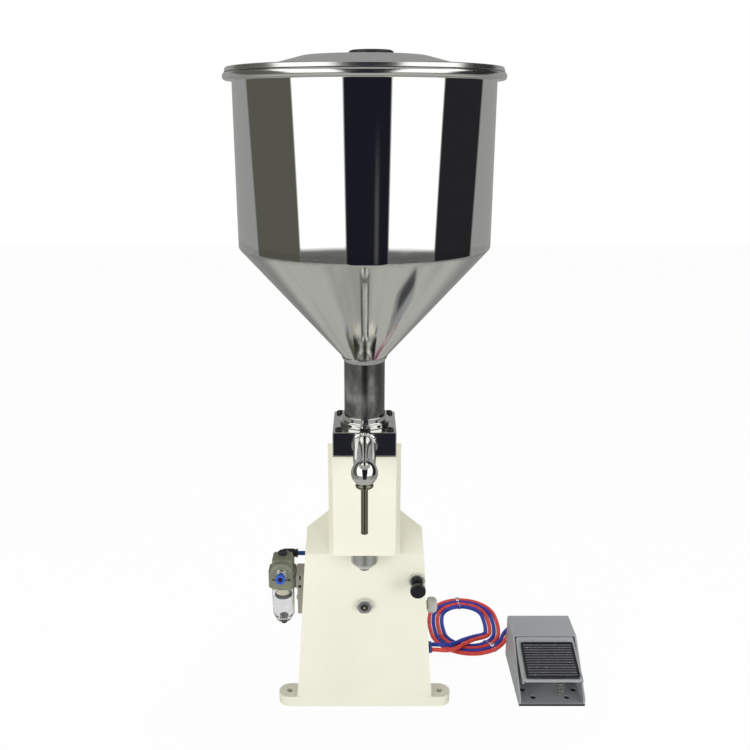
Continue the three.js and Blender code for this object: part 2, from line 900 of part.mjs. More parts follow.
const pistonRadius = meterBore - pistonClearance;
const grooveRadius = pistonRadius - 2 * sealRadius;
const grooveMiddle = (pistonTop + pistonBottom) / 2;
const piston = turned(
  [
    [0, pistonBottom],
    [pistonRadius, pistonBottom],
    [pistonRadius, grooveMiddle - sealRadius - gap],
    [grooveRadius, grooveMiddle - sealRadius - gap],
    [grooveRadius, grooveMiddle + sealRadius + gap],
    [pistonRadius, grooveMiddle + sealRadius + gap],
    [pistonRadius, pistonTop],
    [0, pistonTop],
  ],
  mediumSides,
);
place("metering_piston", piston, pale, head);
const sealOuter = pistonRadius + sealSqueeze;
const sealInner = grooveRadius + gap;
const seal = turned(
  [
    [sealInner, grooveMiddle - sealRadius],
    [sealOuter, grooveMiddle - sealRadius],
    [sealOuter, grooveMiddle + sealRadius],
    [sealInner, grooveMiddle + sealRadius],
  ],
  mediumSides,
);
place("piston_seal", seal, rubber, head);
const rodEnd = boxBottom - rodEndDrop;
place("piston_rod", bar(pistonRodRadius, [0, 0, rodEnd], [0, 0, pistonBottom - gap]), satin, head);
const collarLip = collarRadius + collarFlangeLip;
const collar = turned(
  [
    [pistonRodRadius + gap, boxBottom - collarDrop],
    [collarRadius, boxBottom - collarDrop],
    [collarRadius, collarSeat],
    [collarLip, collarSeat],
    [collarLip, collarSeat + collarFlange],
    [pistonRodRadius + gap, collarSeat + collarFlange],
  ],
);
place("gland_collar", collar, satin, head);

// Crosshead: a bar that joins the air rod to the piston rod
function makeCrosshead() {
  const front = hopperAxisY - crossheadOverhang;
  const rear = airAxisY + crossheadOverhang;
  const body = block(
    [-crossheadHalfWidth, front, crossheadBottom],
    [crossheadHalfWidth, rear, crossheadTop],
  );
  const hole = (radius, y) => bar(radius, [0, y, crossheadBottom - overrun], [0, y, crossheadTop + overrun]);
  return cut(body, hole(pistonRodRadius + gap, hopperAxisY), hole(airThreadRadius + gap, airAxisY));
}

place("crosshead", makeCrosshead(), satin);

// Air cylinder, its piston with the rod, and the bracket whose stud comes out of the front panel
const airGroup = group(0, airAxisY, 0);

function makeAirCylinder() {
  const half = airSide / 2;
  const body = block([-half, -half, airBottom], [half, half, airTop]);
  const bore = bar(
    airBore,
    [0, 0, airBottom + airEndThickness],
    [0, 0, airTop - airEndThickness],
  );
  const rodHole = bar(
    airRodRadius + gap,
    [0, 0, airTop - airEndThickness - overrun],
    [0, 0, airTop + overrun],
  );
  return cut(body, bore, rodHole);
}

place("air_cylinder", makeAirCylinder(), satin, airGroup);
const airRod = turned(
  [
    [0, airPistonTop - airPistonHeight],
    [airBore - gap, airPistonTop - airPistonHeight],
    [airBore - gap, airPistonTop],
    [airRodRadius, airPistonTop],
    [airRodRadius, crossheadBottom - gap],
    [airThreadRadius, crossheadBottom - gap],
    [airThreadRadius, crossheadTop + airThreadRise],
    [0, crossheadTop + airThreadRise],
  ],
);
place("air_rod", airRod, satin, airGroup);

function makeBracket() {
  const faceY = airAxisY - airSide / 2 - gap;
  const footBottom = bottomPlateThickness + gap;
  const panelInside = casingAt(studHeight).front + casingWall;
  const plate = block(
    [-bracketHalfWidth, faceY - bracketThickness, footBottom],
    [bracketHalfWidth, faceY, airTop],
  );
  const foot = block(
    [-bracketHalfWidth, faceY - bracketThickness, footBottom],
    [bracketHalfWidth, airAxisY + airSide / 2, footBottom + footThickness],
  );
  const shoulder = bar(
    studShoulderRadius,
    [0, faceY - bracketThickness, studHeight],
    [0, panelInside + 2 * gap, studHeight],
  );
  const stud = bar(
    studRadius,
    [0, faceY - bracketThickness, studHeight],
    [0, panelInside - casingWall - studReach, studHeight],
  );
  return join(plate, foot, shoulder, stud);
}

place("cylinder_bracket", makeBracket(), zinc);

function makeStudNut() {
  const face = casingAt(studHeight).front;
  const outer = face - gap - studNutHeight;
  const hexagon = bar(studNutRadius, [0, face + gap, studHeight], [0, outer, studHeight], 6);
  const hole = bar(studRadius + gap, [0, face + overrun, studHeight], [0, outer - overrun, studHeight]);
  return clearOfCasing(cut(hexagon, hole));
}

place("stud_nut", makeStudNut(), satin);

// Push-pull air valve: a barrel through the panel, its nut, and the knob on its stem
const airValve = group(airValveX, panelFront, airValveZ);
airValve.rotation.x = Math.PI / 2;
const stemBore = airValveStem + gap;
const barrel = turned([
  [0, -airValveInside],
  [airValveBarrel, -airValveInside],
  [airValveBarrel, -casingWall - gap - airValveFlange],
  [airValveNutRadius, -casingWall - gap - airValveFlange],
  [airValveNutRadius, -casingWall - gap],
  [airValveBarrel, -casingWall - gap],
  [airValveBarrel, airValveOutside],
  [stemBore, airValveOutside],
  [stemBore, -airValveInside + airValveFlange],
  [0, -airValveInside + airValveFlange],
]);

const wallClear = casingAt(airValveZ + airValveNutRadius).half - casingWall - gap - airValveX;
const barrelRoom = block(
  [-2 * airValveNutRadius, -2 * airValveNutRadius, -2 * airValveInside],
  [wallClear, 2 * airValveNutRadius, airValveInside],
);
const trimmedBarrel = barrel.intersect(barrelRoom);
place("valve_barrel", trimmedBarrel, black, airValve);
const airValveNut = cut(
  bar(airValveNutRadius, [0, 0, gap], [0, 0, gap + airValveNutHeight], 6),
  bar(airValveBarrel + gap, [0, 0, -overrun], [0, 0, airValveNutHeight + overrun]),
);
place("valve_nut", airValveNut, satin, airValve);
const knobBack = airValveOutside + airValveNeck + airValveTravel + gap;
const knobEdge = airValveKnobHeight / 4;
const airKnob = turned([
  [0, -airValveInside + airValveFlange + airValveTravel + gap],
  [airValveStem, -airValveInside + airValveFlange + airValveTravel + gap],
  [airValveStem, knobBack],
  [airValveKnobRadius - knobEdge, knobBack],
  [airValveKnobRadius, knobBack + knobEdge],
  [airValveKnobRadius, knobBack + airValveKnobHeight - knobEdge],
  [airValveKnobRadius - knobEdge, knobBack + airValveKnobHeight],
  [0, knobBack + airValveKnobHeight],
]);
place("valve_knob", airKnob, black, airValve);

// Silencer in the right wall, its thread through the sheet
const silencerFace = casingAt(silencerZ).half;
const silencer = group(0, silencerY, silencerZ);
const silencerEnd = silencerFace + silencerLength;
const silencerBody = bar(silencerRadius, [silencerFace - overrun, 0, 0], [silencerEnd, 0, 0]);
const silencerStem = bar(
  silencerThread,
  [silencerFace - casingWall - silencerThread, 0, 0],
  [silencerFace + silencerThread, 0, 0],
);
place("silencer", join(clearOfCasing(silencerBody, 0, silencerY, silencerZ), silencerStem), pale, silencer);

// Filter regulator
const regulatorX = -(casingAt(regulatorBottom - wallPlateDrop).half + regulatorStandoff);
const regulator = group(regulatorX, regulatorY, 0);

function makeRegulatorBody() {
  const half = regulatorSide / 2;
  const deep = regulatorDepth / 2;
  const c = regulatorChamfer;
  const corners = [
    [-half + c, -deep],
    [half - c, -deep],
    [half, -deep + c],
    [half, deep - c],
    [half - c, deep],
    [-half + c, deep],
    [-half, deep - c],
    [-half, -deep + c],
  ];
  const shape = new THREE.Shape(corners.map(([x, y]) => new THREE.Vector2(x, y)));
  const main = new THREE.ExtrudeGeometry(shape, { depth: regulatorHeight, bevelEnabled: false });
  const body = solid(main.translate(0, 0, regulatorBottom));
  const bossRadius = regulatorBossFlats / 2 / Math.cos(Math.PI / 8);
  const octagon = new THREE.CylinderGeometry(bossRadius, bossRadius, 2 * regulatorBossReach, 8);
  octagon.rotateY(Math.PI / 8).translate(0, 0, regulatorPortZ);
  const boss = solid(octagon);
  const bonnet = block(
    [-bonnetWidth / 2, -bonnetFront, regulatorTop - overrun],
    [bonnetWidth / 2, bonnetBack, regulatorTop + bonnetHeight],
  );
  const reach = regulatorBossReach + overrun;
  const port = bar(fittingThread + gap, [0, -reach, regulatorPortZ], [0, reach, regulatorPortZ]);
  return cut(join(body, boss, bonnet), port);
}

place("regulator_body", makeRegulatorBody(), khaki, regulator);
const knobSeat = regulatorTop + bonnetHeight + gap;
const knobSoft = regulatorKnobHeight / 4;
const regulatorKnob = turned([
  [0, knobSeat],
  [regulatorKnobRadius, knobSeat],
  [regulatorKnobRadius, knobSeat + regulatorKnobHeight - knobSoft],
  [regulatorKnobRadius - knobSoft, knobSeat + regulatorKnobHeight],
  [0, knobSeat + regulatorKnobHeight],
]);
place("regulator_knob", regulatorKnob, black, regulator).position.set(0, regulatorKnobBack, 0);

// A push-in fitting along +Z: thread below zero, hexagon or round body, collet and hose bore above
function fitting(bodyRadius, bodyLength, colletEnd, bore, thread, threadLength) {
  return turned([
    [bore, -threadLength],
    [thread, -threadLength],
    [thread, gap],
    [bodyRadius, gap],
    [bodyRadius, bodyLength],
    [colletRadius, bodyLength],
    [colletRadius, colletEnd],
    [bore, colletEnd],
  ]);
}

const frontFitting = fitting(
  fittingBody,
  fittingBodyLength,
  fittingBodyLength + colletLength,
  hoseBore + gap,
  fittingThread,
  regulatorBossReach / 2,
);
const frontFittingMesh = place("regulator_fitting", frontFitting, collet, regulator);
frontFittingMesh.rotation.x = Math.PI / 2;
frontFittingMesh.position.set(0, -regulatorBossReach, regulatorPortZ);

// Rear elbow: a stub out of the rear port and an arm towards the casing
const armEnd = elbowArmLength;

function makeRearElbow() {
  const stub = bar(elbowArmRadius, [0, gap, 0], [0, elbowStub + gap + elbowArmRadius, 0]);
  const thread = bar(fittingThread, [0, -regulatorBossReach / 2, 0], [0, gap + overrun, 0]);
  const arm = bar(elbowArmRadius, [0, elbowStub + gap, 0], [armEnd, elbowStub + gap, 0]);
  const bore = bar(hoseBore, [0, elbowStub + gap, 0], [armEnd + overrun, elbowStub + gap, 0], fewSides);
  return cut(join(stub, thread, arm), bore);
}

const rearElbow = place("regulator_elbow", makeRearElbow(), black, regulator);
rearElbow.position.set(0, regulatorBossReach, regulatorPortZ);
const feedStart = regulatorX + armEnd + gap;
const feedEnd = -casingAt(airLineZ).half + 4 * casingWall;
const feedTube = bar(hoseRadius, [feedStart, airLineY, airLineZ], [feedEnd, airLineY, airLineZ], fewSides);
place("feed_tube", feedTube, blue);

// Bowl with its drain, and the filter element with its baffle inside
const bowlTop = regulatorBottom - gap;
const bowlBase = bowlTop - bowlStraight - bowlTaper;
const bowl = turned([
  [0, bowlBase - drainHeight],
  [drainRadius, bowlBase - drainHeight],
  [drainRadius, bowlBase],
  [bowlFloorRadius, bowlBase],
  [bowlRadius, bowlBase + bowlTaper],
  [bowlRadius, bowlTop],
  [bowlRadius - bowlWall, bowlTop],
  [bowlRadius - bowlWall, bowlBase + bowlTaper],
  [bowlFloorRadius - bowlWall, bowlBase + bowlFloor],
  [0, bowlBase + bowlFloor],
]);
place("regulator_bowl", bowl, clear, regulator);
const element = turned([
  [0, bowlTop - elementHeight - baffleHeight],
  [baffleRadius, bowlTop - elementHeight - baffleHeight],
  [baffleRadius, bowlTop - elementHeight],
  [elementRadius, bowlTop - elementHeight],
  [elementRadius, bowlTop],
  [0, bowlTop],
]);
place("filter_element", element, ivory, regulator);

function makeRegulatorBracket() {
  const bodyFace = regulatorX + regulatorSide / 2 + gap;
  const wallX = -casingAt(regulatorPortZ).half;
  const half = wallPlateDepth / 2;
  const bottom = regulatorBottom - wallPlateDrop;
  const outerX = -casingAt(bottom).half - gap - wallPlateThickness;
  const plate = block(
    [outerX, regulatorY - half, bottom],
    [wallX + overrun, regulatorY + half, regulatorBottom + wallPlateRise],
  );
  const arm = block(
    [bodyFace, regulatorY - half, regulatorBottom + armFoot],
    [outerX + overrun, regulatorY + half, regulatorBottom + wallPlateRise],
  );
  return clearOfCasing(join(plate, arm));
}

place("regulator_bracket", makeRegulatorBracket(), zinc);

// Hose ports in the casing's right wall
function casingPort(y) {
  const wall = casingAt(hosePortZ).half;
  const end = wall + hosePortReach;
  const collar = clearOfCasing(bar(hosePortRadius, [wall - overrun, y, hosePortZ], [end, y, hosePortZ]));
  const thread = bar(hosePortThread, [wall - hosePortInside, y, hosePortZ], [wall + overrun, y, hosePortZ]);
  return join(collar, thread);
}

place("hose_port_red", casingPort(redPortY), black);
place("hose_port_blue", casingPort(bluePortY), black);
const portMouth = casingAt(hosePortZ).half + hosePortReach + gap;

// One hose of the coil: step i lies at a half step, so the two straight runs fall between steps
function coilPoint(lane, step) {
  const turn = (step - coilFirstStep) / coilStepsPerLoop;
  const angle = ((step + 0.5) * 2 * Math.PI) / coilStepsPerLoop;
  const radius = coilInnerRadius + lane * coilSpacing + turn * coilPitch;
  const settle = Math.min((step - coilFirstStep) / coilDescentSteps, 1);
  const height = hoseRest + (coilClimb * (1 + Math.cos(Math.PI * settle))) / 2;
  return new THREE.Vector3(
    coilX + radius * Math.cos(angle),
    coilY + radius * Math.sin(angle) + coilStraightHalf * Math.sign(Math.sin(angle)),
    height,
  );
}

function coilRoute(lane) {
  const points = [];
  for (let step = coilFirstStep; step <= coilFirstStep + coilSteps; step += 1) {
    points.push(coilPoint(lane, step));
  }
  const heading = (step) => {
    const angle = ((step + 0.5) * 2 * Math.PI) / coilStepsPerLoop;
    return new THREE.Vector3(-Math.sin(angle), Math.cos(angle), 0);
  };
  const run = 2 * hoseRadius;
  const start = heading(coilFirstStep);
  const end = heading(coilFirstStep + coilSteps);
  points.unshift(points[0].clone().addScaledVector(start, -run));
  points.push(points[points.length - 1].clone().addScaledVector(end, run));
  return points;
}

// The least gap between stretches of one coil that are more than half a loop apart
function leastGap(points) {
  const curve = new THREE.CatmullRomCurve3(points);
  const samples = curve.getSpacedPoints(12 * points.length);
  const apart = 6 * coilStepsPerLoop;
  let least = Infinity;
  samples.forEach((point, i) => {
    for (let j = i + apart; j < samples.length; j += 1) {
      least = Math.min(least, point.distanceTo(samples[j]));
    }
  });
  return least - 2 * hoseRadius;
}

const lanes = { blue: 0, red: 1 };
const coils = {};
for (const [colour, lane] of Object.entries(lanes)) {
  coils[colour] = coilRoute(lane);
  place(`hose_coil_${colour}`, tube(coils[colour], hoseRadius, coilSides), colour === "red" ? red : blue);
  console.log(`least gap of the ${colour} coil to itself: ${leastGap(coils[colour]).toFixed(2)} mm`);
}

// A free stretch of hose along hand-chosen points
function freeHose(route) {
  const points = route.map((point) => new THREE.Vector3(...point));
  const curve = new THREE.CatmullRomCurve3(points, false, "centripetal");
  const section = new THREE.Shape();
  const sides = 8;
  for (let k = 0; k < sides; k += 1) {
    const angle = (2 * Math.PI * k) / sides;
    section[k ? "lineTo" : "moveTo"](hoseRadius * Math.cos(angle), hoseRadius * Math.sin(angle));
  }
  const steps = Math.round(curve.getLength() / (5 * hoseRadius));
  return new THREE.ExtrudeGeometry(section, { steps, extrudePath: curve });
}

// Where a free stretch meets a coil: a gap beyond the coil's end, on its line
function beyond(colour, atStart) {
  const route = coils[colour];
  const [end, next] = atStart ? route.slice(0, 2) : route.slice(-2).reverse();
  const away = end.clone().sub(next).setZ(0).normalize();
  const near = end.clone().addScaledVector(away, gap);
  const far = end.clone().addScaledVector(away, gap + 2 * hoseRadius);
  return [near.toArray(), far.toArray()];
}

const leadRoutes = {
  blue: [
    [portMouth, bluePortY, hosePortZ],
    [107, 8.7, 21.7],
    [117, 12.3, 18.6],
    [127, 19, 14.4],
    [138, 28.5, 11.2],
    [148, 36.8, 10],
  ],
  red: [
    [portMouth, redPortY, hosePortZ],
    [107, -3.8, 21.5],
    [118, -0.5, 18.2],
    [129, 7.5, 14],
    [139.5, 17, 11.2],
    [150, 27.5, 10],
  ],
};
for (const colour of Object.keys(lanes)) {
  const [near, far] = beyond(colour, true);
  place(`hose_lead_${colour}`, freeHose([...leadRoutes[colour], far, near]), colour === "red" ? red : blue);
}

// Foot pedal: everything is measured from the middle of its front edge on the floor
const pedal = group(pedalX, pedalFront, 0);
const hoodFront = pedalLength - hoodLength;
const pivotY = hoodFront - pivotSetback;
const pivotZ = pedalHeight - pivotDrop;

function makePedalHousing() {
  const half = pedalWidth / 2;
  const outer = sideways(
    [
      [0, 0],
      [pedalLength, 0],
      [pedalLength, pedalHeight],
      [hoodFront, pedalHeight],
      [hoodFront, pedalHeight - pedalWall],
      [0, pedalFrontRise],
    ],
    half,
  );
  const inner = sideways(
    [
      [-overrun, pedalBase],
      [pedalLength - pedalWall, pedalBase],
      [pedalLength - pedalWall, pedalHeight - pedalWall],
      [hoodFront, pedalHeight - pedalWall],
      [hoodFront, pedalHeight + overrun],
      [-overrun, pedalHeight + overrun],
    ],
    half - pedalWall,
  );
  const holes = [];
  for (const side of [-1, 1]) {
    const drill = (radius, x, y) =>
      bar(radius, [side * x, y, -overrun], [side * x, y, pedalBase + overrun]);
    holes.push(drill(pedalScrewRadius, pedalScrewX, pedalScrewY));
    holes.push(drill(pedalSlotRadius, pedalSlotX, pedalSlotY));
    const portX = pedalValveX + (side * pedalPortPitch) / 2;
    const wallY = pedalLength - pedalWall;
    const inside = [portX, wallY - overrun, pedalPortZ];
    const outside = [portX, pedalLength + overrun, pedalPortZ];
    holes.push(bar(hosePortThread + gap, inside, outside));
  }
  holes.push(bar(pinRadius + gap, [-pedalWidth, pivotY, pivotZ], [pedalWidth, pivotY, pivotZ]));
  return cut(outer, inner, ...holes);
}

place("pedal_housing", makePedalHousing(), grey, pedal);
const hingePin = bar(pinRadius, [-pedalWidth / 2, pivotY, pivotZ], [pedalWidth / 2, pivotY, pivotZ]);
place("pedal_hinge_pin", hingePin, satin, pedal);

// Treadle: a plate with lips turned down at its sides, and the rubber pad with its cross ribs
const treadle = group(0, pivotY, pivotZ, pedal);
treadle.rotation.x = THREE.MathUtils.degToRad(treadleSlope);

function makeTreadle() {
  const half = treadleWidth / 2;
  const plate = block(
    [-half, -treadleForward, treadleLift - treadleSheet],
    [half, treadleBack, treadleLift],
  );
  const lips = [-1, 1].map((side) => {
    const inside = side * (half - treadleSheet);
    return block(
      [Math.min(inside, side * half), -treadleForward, treadleLift - treadleSheet - treadleLip],
      [Math.max(inside, side * half), treadleBack - treadleSheet, treadleLift],
    );
  });
  return cut(join(plate, ...lips), bar(pinRadius + gap, [-treadleWidth, 0, 0], [treadleWidth, 0, 0]));
}

place("pedal_treadle", makeTreadle(), grey, treadle);

function makePad() {
  const half = padWidth / 2;
  const bottom = treadleLift + gap;
  const front = -padStart - padLength;
  let pad = block([-half, front, bottom], [half, -padStart, bottom + padThickness]);
  const ribPitch = padLength / padRibs;
  for (let i = 0; i < padRibs; i += 1) {
    const middle = front + (i + 0.5) * ribPitch;
    const ribHalf = (ribPitch * padRibShare) / 2;
    const rib = block(
      [-half + padThickness, middle - ribHalf, bottom + padThickness / 2],
      [half - padThickness, middle + ribHalf, bottom + padThickness + padRibHeight],
    );
    pad = join(pad, rib);
  }
  return pad;
}

place("pedal_pad", makePad(), rubber, treadle);

// Pedal valve with its plunger under the treadle, and the return spring
const valveTop = pedalBase + gap + pedalValveHeight;
const plungerY = pivotY - plungerArm;
const slope = THREE.MathUtils.degToRad(treadleSlope);
const undersideAt = (y) => {
  const along = (y - pivotY + (treadleLift - treadleSheet) * Math.sin(slope)) / Math.cos(slope);
  return pivotZ + along * Math.sin(slope) + (treadleLift - treadleSheet) * Math.cos(slope);
};

function makePedalValve() {
  const low = [pedalValveX - pedalValveWidth / 2, pedalValveFront, pedalBase + gap];
  const high = [pedalValveX + pedalValveWidth / 2, pedalLength - pedalWall - gap, valveTop];
  const well = valveTop - plungerDepth - plungerTravel - gap;
  return cut(
    block(low, high),
    bar(plungerRadius + gap, [0, plungerY, well], [0, plungerY, valveTop + overrun]),
    ...[-1, 1].map((side) => {
      const x = pedalValveX + (side * pedalPortPitch) / 2;
      const depth = pedalLength - pedalWall - hosePortInside;
      return bar(hosePortThread + gap, [x, depth - gap, pedalPortZ], [x, pedalLength, pedalPortZ]);
    }),
  );
}

place("pedal_valve", makePedalValve(), satin, pedal);
const domeZ = undersideAt(plungerY) - (plungerRadius + plungerClearance) / Math.cos(slope);
const plunger = join(
  bar(plungerRadius, [0, 0, valveTop - plungerDepth], [0, 0, domeZ], fewSides),
  solid(new THREE.SphereGeometry(plungerRadius, 12, 6).rotateX(Math.PI / 2).translate(0, 0, domeZ)),
);
const plungerMesh = place("pedal_plunger", plunger, satin, pedal);
plungerMesh.position.set(0, plungerY, 0);

const springClear = (pedalSpringRadius + pedalSpringWire) * Math.tan(slope);
const pedalSpring = spring(
  pedalSpringRadius,
  pedalSpringWire,
  pedalBase + gap,
  undersideAt(pedalSpringY) - springClear - gap,
  pedalSpringCurls,
);
const pedalSpringMesh = place("pedal_spring", pedalSpring, satin, pedal);
pedalSpringMesh.position.set(pedalSpringX, pedalSpringY, 0);

// Hose ports on the pedal's rear wall and the tails that run into them
const pedalPorts = { red: -1, blue: 1 };
const tailPoints = {
  red: [
    [220.3, 60.2, 3.6],
    [226, 65.3, 6],
    [233.5, 68, 9.2],
    [241.6, 67.3, 12.4],
    [249.5, 62.6, 15.4],
  ],
  blue: [
    [213.8, 62, 3.2],
    [218.6, 69, 4],
    [226, 75.3, 6],
    [236, 78.8, 9],
    [247, 78.3, 12],
    [258, 73.4, 14.8],
    [267.5, 64.5, 17],
  ],
};
for (const [colour, side] of Object.entries(pedalPorts)) {
  const portX = pedalValveX + (side * pedalPortPitch) / 2;
  const port = join(
    bar(
      hosePortRadius,
      [portX, pedalLength + gap, pedalPortZ],
      [portX, pedalLength + pedalPortReach, pedalPortZ],
    ),
    bar(
      hosePortThread,
      [portX, pedalLength - pedalWall - hosePortInside, pedalPortZ],
      [portX, pedalLength + overrun, pedalPortZ],
    ),
  );
  place(`pedal_port_${colour}`, port, black, pedal);
  const x = pedalX + portX;
  const mouth = pedalFront + pedalLength + pedalPortReach + gap;
  const [near] = beyond(colour, false);
  const run = 2 * hoseRadius;
  const arrival = [
    [x, mouth + 3 * run, pedalPortZ],
    [x, mouth + run, pedalPortZ],
    [x, mouth, pedalPortZ],
  ];
  place(
    `hose_tail_${colour}`,
    freeHose([near, ...tailPoints[colour], ...arrival]),
    colour === "red" ? red : blue,
  );
}

export default assembly;
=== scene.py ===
"""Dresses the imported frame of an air-driven paste filling machine in its visual pieces and finishes."""

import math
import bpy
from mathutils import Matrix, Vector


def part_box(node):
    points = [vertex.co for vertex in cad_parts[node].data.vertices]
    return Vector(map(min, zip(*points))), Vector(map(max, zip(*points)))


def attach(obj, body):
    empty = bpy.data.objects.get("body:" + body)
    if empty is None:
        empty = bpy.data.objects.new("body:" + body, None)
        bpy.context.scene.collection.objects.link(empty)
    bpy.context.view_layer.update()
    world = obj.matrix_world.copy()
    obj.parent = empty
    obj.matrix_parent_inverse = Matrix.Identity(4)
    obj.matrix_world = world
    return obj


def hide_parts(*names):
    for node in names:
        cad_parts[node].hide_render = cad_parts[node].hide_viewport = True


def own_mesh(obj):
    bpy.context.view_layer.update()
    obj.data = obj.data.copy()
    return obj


bl_info = {
    "name": "Paste Filling Machine",
    "version": (1, 0, 0),
    "blender": (4, 5, 0),
    "location": "3D View > Sidebar > Filling Machine",
    "description": "Builds the visual pieces and finishes of an air-driven paste filling machine",
    "category": "Add Mesh",
}

import bmesh
import bpy
from bpy.props import FloatProperty, FloatVectorProperty, IntProperty, PointerProperty
from bpy.types import Operator, Panel, PropertyGroup
from mathutils import Matrix, Vector

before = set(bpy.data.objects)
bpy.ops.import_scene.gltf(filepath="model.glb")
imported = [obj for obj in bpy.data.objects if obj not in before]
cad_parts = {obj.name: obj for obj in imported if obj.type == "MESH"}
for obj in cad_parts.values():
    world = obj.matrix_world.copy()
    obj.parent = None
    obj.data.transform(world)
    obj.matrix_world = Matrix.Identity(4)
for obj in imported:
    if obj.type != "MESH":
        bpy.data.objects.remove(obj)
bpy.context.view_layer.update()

MM = 0.001
SMOOTH_BELOW = math.radians(32)


def size(label, millimetres, description):
    """A length property whose default is given in millimetres."""
    return FloatProperty(
        name=label,
        description=description,
        default=millimetres * MM,
        precision=4,
        subtype="DISTANCE",
        unit="LENGTH",
    )


def angle(label, degrees, description):
    """An angle property whose default is given in degrees."""
    return FloatProperty(
        name=label, description=description, default=math.radians(degrees), subtype="ANGLE", unit="ROTATION"
    )


def colour(label, red, green, blue, description):
    """A colour property, as linear values."""
    return FloatVectorProperty(
        name=label, description=description, default=(red, green, blue), min=0, max=1, subtype="COLOR", size=3
    )


def share(label, value, description):
    """A plain number without a unit."""
    return FloatProperty(name=label, description=description, default=value, min=0)


def power(label, watts, description):
    """The power of a lamp."""
    return FloatProperty(name=label, description=description, default=watts, unit="POWER")


def count(label, value, description):
    """A whole number of repeated things."""
    return IntProperty(name=label, description=description, default=value, min=1)


class StageSettings(PropertyGroup):
    camera_y: size("Camera Distance", -1070, "Where the camera stands along Y")
    camera_z: size("Camera Height", 774, "Height of the camera")
    camera_tilt: angle("Camera Tilt", 72.7, "Turn of the camera about X, from looking straight down")
    camera_lens: FloatProperty(name="Lens", description="Focal length in mm", default=40.8)
    camera_shift: share("Shift", 0.014, "Sideways shift of the frame, as a share of its width")
    floor_half: size("Floor Half Width", 4000, "Half the side of the floor")
    floor_glow: share("Floor Glow", 0.96, "How far the camera sees the floor as plain white")
    lamp_power: power("Left Lamp", 29, "Power of the left front lamp")
    right_share: share("Right Lamp", 0.8, "Power of the right front lamp, as a share of the left one's")
    top_power: power("Top Lamp", 15, "Power of the lamp above")
    ambient: share("Ambient", 0.72, "Strength of the even light from the sides")
    ambient_top: share("Ambient Above", 0.34, "Strength of the even light from above")


class PaintSettings(PropertyGroup):
    cream: colour("Cream", 0.83, 0.82, 0.69, "Enamel of the stand")
    pedal_grey: colour("Pedal Grey", 0.39, 0.408, 0.417, "Paint of the pedal's pressings")
    casting: colour("Casting", 0.235, 0.25, 0.178, "Die cast regulator body")
    steel: colour("Stainless", 0.76, 0.76, 0.74, "Polished stainless steel")
    turned: colour("Turned Steel", 0.56, 0.55, 0.5, "Machined steel")
    zinc: colour("Zinc", 0.5, 0.48, 0.43, "Zinc plate")
    oxide: colour("Black Oxide", 0.07, 0.068, 0.06, "Blackened screws")
    aluminium: colour("Aluminium", 0.62, 0.63, 0.64, "Anodised aluminium")
    black: colour("Black Plastic", 0.014, 0.014, 0.017, "Moulded plastic")
    rubber: colour("Rubber", 0.016, 0.017, 0.021, "Ribbed pad and seals")
    pale: colour("Pale Plastic", 0.52, 0.53, 0.48, "Silencer and piston")
    ivory: colour("Ivory", 0.78, 0.7, 0.52, "Filter element")
    collet: colour("Collet", 0.035, 0.1, 0.5, "Release collet")
    red: colour("Red Hose", 0.72, 0.065, 0.05, "Polyurethane hose")
    blue: colour("Blue Hose", 0.028, 0.045, 0.38, "Polyurethane hose")
    clear: colour("Clear Bowl", 0.97, 0.975, 0.98, "Polycarbonate")


class Value:
    """A number in a shader: arithmetic on it adds Math nodes."""

    def __init__(self, tree, socket):
        self.tree = tree
        self.socket = socket

    def maths(self, operation, first, second=0.0):
        node = self.tree.nodes.new("ShaderNodeMath")
        node.operation = operation
        for place, value in enumerate((first, second)):
            if isinstance(value, Value):
                self.tree.links.new(value.socket, node.inputs[place])
            else:
                node.inputs[place].default_value = value
        return Value(self.tree, node.outputs[0])

    def __add__(self, other):
        return self.maths("ADD", self, other)

    __radd__ = __add__

    def __sub__(self, other):
        return self.maths("SUBTRACT", self, other)

    def __rsub__(self, other):
        return self.maths("SUBTRACT", other, self)

    def __mul__(self, other):
        return self.maths("MULTIPLY", self, other)

    __rmul__ = __mul__

    def step(self, low, high):
        """0 below low, 1 above high, smooth in between."""
        smooth = {"interpolation_type": "SMOOTHSTEP"}
        node = Shader(self.tree).node("ShaderNodeMapRange", smooth, Value=self, From_Min=low, From_Max=high)
        return Value(self.tree, node.outputs["Result"])

    def band(self, low, high, soft):
        """1 between low and high, with soft ends."""
        return self.step(low - soft, low + soft) * (1 - self.step(high - soft, high + soft))


